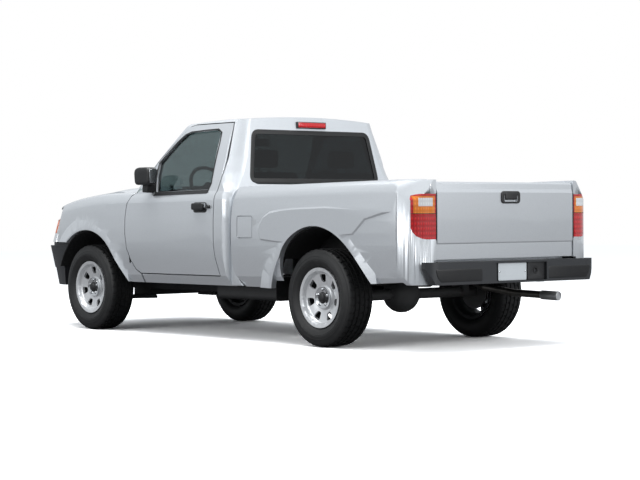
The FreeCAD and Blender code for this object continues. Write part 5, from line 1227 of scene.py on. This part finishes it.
@dataclass
class FrontEnd:
    """Hood, fenders, grille, lamps and front bumper."""

    crease: float = 9.0
    corner_from: float = 440.0
    reflector_to: float = 790.0
    lens_thickness: float = 22.0
    bumper_front: Outline = ((832, 0), (830, 250), (822, 450), (796, 590), (745, 700), (680, 752),
                             (560, 800), (330, 812))
    bumper_inside: Outline = ((330, 780), (660, 690), (760, 500), (790, 0))

    def corner_lens(self, side: str, sign: int) -> None:
        """Set a lens between the turn lamp and the fender.

        Args:
            side: Name of the side.
            sign: 1 on the left and -1 on the right.
        """
        corners = {(False, False): (549, 802, 771), (False, True): (488, 811, 890),
                   (True, False): (585, 786, 771), (True, True): (655, 725, 869)}
        lens = Bench.block("corner_lens_" + side, at(0, 0, 0), at(100, 100, 100), 0)
        middle = at(50, 50, 50)
        for vertex in lens.data.vertices:
            x, y, z = corners[(vertex.co.x > middle.x, vertex.co.z > middle.z)]
            outer = (vertex.co.y > middle.y) == (sign > 0)
            vertex.co = at(x, sign * (y if outer else y - self.lens_thickness), z)
        dress(lens, CORNER_LAMP)

    def lamp(self, side: str, sign: int) -> None:
        """Give a headlamp and a turn lamp their lenses and metallised backs.

        Args:
            side: Name of the side.
            sign: 1 on the left and -1 on the right.
        """
        shelf_end = at(self.reflector_to, 0, 0).x
        lens = smooth_copy("headlamp_" + side, CLEAR_LENS)
        paint_where(lens, REFLECTOR, lambda spot, normal: (
            normal.x < -0.5 or (abs(normal.z) > 0.9 and spot.x < shelf_end)))
        turn = smooth_copy("turn_lamp_" + side, CORNER_LAMP)
        paint_where(turn, REFLECTOR, lambda spot, normal: normal.x < -0.5 and normal.y * sign < 0.2)

    def blends(self, spot: Vector) -> bool:
        """Say whether an edge of the fender belongs to the rounded nose corner."""
        return along(spot) > self.corner_from

    def trim(self) -> None:
        """Fill the gap between bumper and nose, and set the plate plinth on the bumper."""
        outer = [(x, -y) for x, y in reversed(self.bumper_front)] + list(self.bumper_front)
        inner = list(self.bumper_inside) + [(x, -y) for x, y in reversed(self.bumper_inside[:-1])]
        filler = Bench.plate("bumper_filler", [outer + inner], Facing.TOP, 640, 697, 2)
        dress(filler, BLACK_PLASTIC)
        plinth = Bench.plate("front_plate_plinth", [rounded(rectangle(-250, 520, 250, 620), 12, 3)],
                             Facing.REAR, 850, 863, 3)
        dress(plinth, BLACK_PLASTIC)

    @staticmethod
    def washer_jets() -> None:
        """Set the two washer jets on the rear of the hood."""
        for side, sign in SIDES:
            jet = Bench.block("washer_jet_" + side, at(-430, sign * 330 - 12, 1134),
                              at(-404, sign * 330 + 12, 1154), 4, 3)
            dress(jet, BLACK_PLASTIC, "hood")

    def build(self) -> None:
        """Dress the front end."""
        for side, sign in SIDES:
            smooth_copy("front_fender_" + side, BODY_PAINT, angle=self.crease, soft=self.blends)
            self.lamp(side, sign)
            self.corner_lens(side, sign)
        smooth_copy("hood", BODY_PAINT, "hood", 16)
        smooth_copy("grille", BLACK_PLASTIC)
        smooth_copy("front_bumper", BUMPER_PAINT, angle=12)
        self.trim()
        self.washer_jets()


@dataclass
class Interior:
    """Seats, dashboard, controls and inside mirror."""

    seats: Outline = ((60, 700), (-700, -40))
    seat_middle: float = 380.0
    back_lean: float = 9.0

    @staticmethod
    def pad(name: str, low: Vector, high: Vector, round_mm: float, lean: float = 0.0) -> Piece:
        """Make one upholstered pad with full, rounded edges.

        Args:
            name: Name of the pad.
            low: Lowest corner.
            high: Highest corner.
            round_mm: Radius of its edges.
            lean: Backward lean about its foot, in degrees.

        Returns:
            The pad.
        """
        piece = Bench.block(name, low, high, round_mm, 4)
        with Bench.editing(piece):
            bpy.ops.mesh.subdivide(number_cuts=5)
        if lean:
            foot = Vector(((low.x + high.x) / 2, 0, min(low.z, high.z)))
            piece.data.transform(Matrix.Translation(foot) @ Matrix.Rotation(math.radians(-lean), 4, "Y")
                                 @ Matrix.Translation(-foot))
        return Bench.smooth(piece, 60)

    def upholstery(self) -> None:
        """Replace the plain seat forms by padded ones with bolsters and head rests."""
        cushions, backs = [], []
        for right, left in self.seats:
            cushions.append(self.pad("cushion", at(-1618, right + 3, 562), at(-1132, left - 3, 690), 38))
            for y in (right + 52, left - 52):
                cushions.append(self.pad("bolster", at(-1600, y - 46, 600), at(-1150, y + 46, 699), 34))
            foot, top = at(-1622, right + 3, 705), at(-1552, left - 3, 1236)
            backs.append(self.pad("back", foot, top, 30, self.back_lean))
            head = math.copysign(self.seat_middle, right)
            backs.append(self.pad("head_rest", at(-1714, head - 123, 1262), at(-1637, head + 123, 1398), 34))
            backs += [Bench.drum("post", at(-1676, y, 1225), at(-1676, y, 1275), 6)
                      for y in (head - 50, head + 50)]
        for name, pieces in (("seat_cushions", cushions), ("seat_backs", backs)):
            joined = dress(Bench.join(name + "_padded", pieces), SEAT_CLOTH)
            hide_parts(name)

    @staticmethod
    def instruments() -> None:
        """Add the instrument hood, dials, radio and vents."""
        outline = rounded([(-700, 1064), (-705, 1100), (-820, 1112), (-846, 1098), (-850, 1066)], 12, 3)
        dress(Bench.plate("instrument_hood", [outline], Facing.SIDE, 215, 545, 6), VINYL)
        dials = [Bench.drum("dial", at(-868, y, 1018), at(-886, y, 1014), 40, 32, 2) for y in (310, 450)]
        dress(Bench.join("instrument_dials", dials), DIAL_FACE)
        dress(Bench.block("radio", at(-902, -90, 900), at(-884, 90, 950), 3), DIAL_FACE)
        vents = [Bench.block("vent", at(-906, y - 55, 985 - 12 * i), at(-886, y + 55, 991 - 12 * i), 2)
                 for y in (-640, -80, 80, 640) for i in range(3)]
        dress(Bench.join("dash_vents", vents), BLACK_PLASTIC)

    @staticmethod
    def controls() -> None:
        """Add the gear lever and the pedals."""
        stick = Bench.drum("stick", at(-1010, 0, 500), at(-1060, 0, 740), 8)
        knob = Bench.drum("knob", at(-1056, 0, 725), at(-1068, 0, 790), 23, 24, 12)
        dress(Bench.join("gear_lever", [stick, knob]), BLACK_PLASTIC)
        pedals = []
        for y in (300, 400, 500):
            pedals.append(Bench.block("pedal", at(-650, y - 26, 590), at(-636, y + 26, 660), 4))
            pedals.append(Bench.drum("stem", at(-640, y, 650), at(-600, y, 760), 7))
        dress(Bench.join("pedals", pedals), SEAL_RUBBER)

    @staticmethod
    def mirror() -> None:
        """Hang the inside mirror from the windshield's head."""
        housing = Bench.block("inside_mirror", at(-1130, -115, 1448), at(-1100, 115, 1510), 14, 3)
        stem = Bench.drum("stem", at(-1108, 0, 1500), at(-1098, 0, 1556), 8)
        dress(Bench.join("inside_mirror", [housing, stem]), BLACK_PLASTIC)
        glass = Bench.block("inside_mirror_glass", at(-1132, -106, 1456), at(-1129, 106, 1502), 1)
        dress(glass, MIRROR_GLASS)

    def build(self) -> None:
        """Dress the cabin."""
        smooth_copy("seat_base", CHASSIS_COAT)
        self.upholstery()
        smooth_copy("dashboard", VINYL)
        self.instruments()
        self.controls()
        self.mirror()
        smooth_copy("steering_wheel", BLACK_PLASTIC, "steering_wheel")


@dataclass
class Bed:
    """Load bed with its tailgate, lamps and step bumper."""

    rear: float = -3903.0
    corner: float = -3655.0
    blend_from: float = -3640.0
    crease: float = 9.0
    axle: Tuple[float, float] = (-2850, 333)
    arch_radius: float = 499.0
    lamp_back: float = -3780.0
    amber: Tuple[float, float, float, float] = (0.672, 0.818, 0.914, 1.026)
    white: Tuple[float, float, float, float] = (0.690, 0.792, 0.960, 1.014)
    seam: Tuple[float, float] = (0.909, 0.914)
    socket: Tuple[float, float] = (-205, 525)
    socket_hole: float = 24.0

    def under(self, spot: Vector, normal: Vector) -> bool:
        """Say whether a face of the bed looks down or into a wheel opening, where the dark liner colour is
        painted as shade.
        """
        x, z = along(spot), spot.z * 1000
        arch = abs(spot.y) > 0.36 and spot.z < 0.83 and -3500 < x < -2300
        reach = math.hypot(x - self.axle[0], z - self.axle[1])
        return normal.z < -0.3 or (arch and reach < self.arch_radius)

    def blends(self, spot: Vector) -> bool:
        """Say whether an edge of the bed side belongs to its rounded rear corner."""
        return along(spot) < self.blend_from

    def shaded_skirt(self, spot: Vector, normal: Vector) -> bool:
        """Say whether a face of the bed side lies low behind its outer skin, where the dark liner colour is
        painted as shade.
        """
        return spot.z < 0.8 and abs(spot.y) < 0.82 and along(spot) > self.corner

    def panels(self) -> None:
        """Dress the panels, with painted shade: the dark liner colour on the faces underneath, in the wheel
        openings and low behind the side skins.
        """
        tub = smooth_copy("bed_box", BODY_PAINT, angle=20)
        # Painted shade: the dark liner colour on faces that look down or into a wheel opening.
        paint_where(tub, LINER_FELT, self.under)
        for side, _ in SIDES:
            panel = smooth_copy("bed_side_" + side, BODY_PAINT, angle=self.crease, soft=self.blends)
            # Painted shade: the dark liner colour on the low inner faces behind the skin.
            paint_where(panel, LINER_FELT, self.shaded_skirt)
        smooth_copy("tailgate", BODY_PAINT, "tailgate", 8)
        smooth_copy("fuel_door", BODY_PAINT, "fuel_door", 12)

    @staticmethod
    def within(spot: Vector, window: Tuple[float, float, float, float]) -> bool:
        """Say whether a place lies in a window given by its inner, outer, lower and upper edge."""
        return window[0] < abs(spot.y) < window[1] and window[2] < spot.z < window[3]

    def lamp(self, side: str, sign: int) -> None:
        """Split a tail lamp into its red, amber and white lenses.

        Args:
            side: Name of the side.
            sign: 1 on the left and -1 on the right.
        """
        foot, shoulder = 0.753, 0.800
        piece = smooth_copy("tail_lamp_" + side, RED_LAMP, angle=20)
        with Bench.editing(piece):
            for height in (foot, *self.seam, self.white[2], self.white[3], self.amber[3]):
                Bench.slice((0, 0, height), (0, 0, 1))
            for out in (self.amber[0], self.white[0], self.white[1], shoulder, self.amber[1]):
                Bench.slice((0, sign * out, 0), (0, 1, 0))
        back = at(self.lamp_back, 0, 0).x
        paint_where(piece, AMBER_LAMP, lambda spot, normal: self.within(spot, self.amber))
        paint_where(piece, SEAL_RUBBER, lambda spot, normal: self.seam[0] < spot.z < self.seam[1])
        paint_where(piece, WHITE_LAMP, lambda spot, normal: self.within(spot, self.white) and spot.x < back)
        Bench.smooth(piece, 30)
        edge = [(sign * y, z) for y, z in ((655, 738), (655, 1046), (662, 1046), (662, 738))]
        gasket = Bench.plate("tail_lamp_gasket_" + side, [edge], Facing.REAR, -3823.5, self.lamp_back, 1)
        dress(gasket, SEAL_RUBBER)

    @staticmethod
    def handle() -> None:
        """Set the tailgate's black handle in its bezel."""
        frame_outline = rounded(rectangle(-120, 977, 59, 1060), 26, 5)
        opening = rounded(rectangle(-94, 990, 32, 1034), 10, 3)
        bezel = Bench.plate("tailgate_bezel", [frame_outline, opening], Facing.REAR, -3831.5, -3818, 4)
        dress(bezel, BLACK_PLASTIC, "tailgate")
        paddle = rounded(rectangle(-88, 1002, 26, 1052), 14, 4)
        lever = Bench.plate("tailgate_lever", [paddle], Facing.REAR, -3834, -3817, 5)
        dress(lever, BLACK_PLASTIC, "tailgate")

    def on_bumper(self, name: str, outlines: Sequence[Outline], near: float, far: float, round_mm: float,
                  finish: Finish) -> None:
        """Set a flat piece on the bumper's rear face.

        Args:
            name: Name of the piece.
            outlines: Outer outline and holes, in millimetres across and up.
            near: Distance of its rear side ahead of the bumper's rear face.
            far: Distance of its front side ahead of it.
            round_mm: Radius of its edges.
            finish: Its finish.
        """
        piece = Bench.plate(name, outlines, Facing.REAR, self.rear + near, self.rear + far, round_mm)
        dress(piece, finish)

    def bumper(self) -> None:
        """Dress the step bumper and add its pads and treads."""
        smooth_copy("rear_bumper", BUMPER_PAINT, angle=14)
        self.plate()
        self.towing()
        for side, sign in SIDES:
            outline = [(sign * y, z) for y, z in ((318, 466), (318, 552), (742, 552), (728, 500), (700, 466))]
            self.on_bumper("bumper_pad_" + side, [rounded(outline, 14, 3)], -1.5, 20, 4, PAD_RUBBER)
            ribs = [Bench.block("rib", at(self.rear + 30 + 9 * i, sign * 345, 588),
                                at(self.rear + 35 + 9 * i, sign * 745, 594.5), 1) for i in range(5)]
            dress(Bench.join("step_tread_" + side, ribs), BLACK_PLASTIC)

    def plate(self) -> None:
        """Screw the blank licence plate to the bumper."""
        self.on_bumper("licence_plate", [rounded(rectangle(-114, 463, 156, 581), 10, 4)], 14, 17, 0.8,
                       PLATE_WHITE)
        front, back = self.rear + 16, self.rear + 11.5
        screws = [Bench.drum("screw", at(front, y, 522), at(back, y, 522), 6, 16, 1.5) for y in (144, -102)]
        dress(Bench.join("licence_plate_screws", screws), CHROME)

    def towing(self) -> None:
        """Set the towing socket in its panel."""
        y, z = self.socket
        turns = [math.tau * i / 24 for i in range(24)]
        hole = [(y + self.socket_hole * math.cos(a), z + self.socket_hole * math.sin(a)) for a in turns]
        self.on_bumper("towing_panel", [rounded(rectangle(-292, 462, -126, 584), 8, 3), hole], 15, 22, 1.5,
                       BLACK_PLASTIC)
        socket = Bench.spin_profile("towing_socket", [(0, 23), (8, 23), (8, 15), (4, 11), (0, 11)],
                                    Vector((0, 0, 0)), 32)
        socket.data.transform(Matrix.Translation(at(self.rear + 22, y, z))
                              @ Matrix.Rotation(math.pi / 2, 4, "Z"))
        dress(Bench.smooth(socket, 30), SEAL_RUBBER)

    @staticmethod
    def tie_hooks() -> None:
        """Bolt three tie hooks to the inside of each bed side."""
        for side, sign in SIDES:
            hooks, bar, wall = [], sign * 682, sign * 698
            for x in (-2060, -2900, -3650):
                hooks.append(Bench.block("foot", at(x - 20, sign * 694, 900), at(x + 20, sign * 701, 940), 2))
                hooks.append(Bench.drum("bar", at(x - 12, bar, 908), at(x + 12, bar, 908), 5))
                hooks += [Bench.drum("leg", at(leg, bar, 908), at(leg, wall, 924), 4)
                          for leg in (x - 10, x + 10)]
            dress(Bench.join("tie_hooks_" + side, hooks), CHASSIS_COAT)

    @staticmethod
    def exhaust_tip() -> None:
        """Slide the polished trim over the end of the exhaust pipe."""
        start, end = at(-3590, -587, 336), at(-3736, -602, 331)
        tip = Bench.drum("exhaust_tip", start, end, 33, 40, 3)
        wall, depth, smallest_end = 0.004, 0.006, 0.0005
        with Bench.editing(tip, lambda face: (
                face.center.x < end.x + 0.0015 and face.area > smallest_end)):
            bpy.ops.mesh.inset(thickness=wall)
            bpy.ops.mesh.extrude_region_move(TRANSFORM_OT_translate={"value": (depth, 0, 0)})
        dress(Bench.smooth(tip), TIP_STEEL)

    def build(self) -> None:
        """Build the bed."""
        self.panels()
        for side, sign in SIDES:
            self.lamp(side, sign)
        self.handle()
        self.bumper()
        self.tie_hooks()
        self.exhaust_tip()


def main() -> None:
    """Build every sub-assembly in order."""
    logging.basicConfig(level=logging.INFO, format="%(message)s")
    Studio().build()
    Underbody().build()
    Cab().build()
    for side, sign in SIDES:
        Door(side, sign).build()
    FrontEnd().build()
    Interior().build()
    Bed().build()
    for end, x, y in (("front", 0, 745), ("rear", -2835, 728.5)):
        for side, sign in SIDES:
            Wheel(end, side, sign, (x, sign * y)).build()


if __name__ == "__main__":
    main()
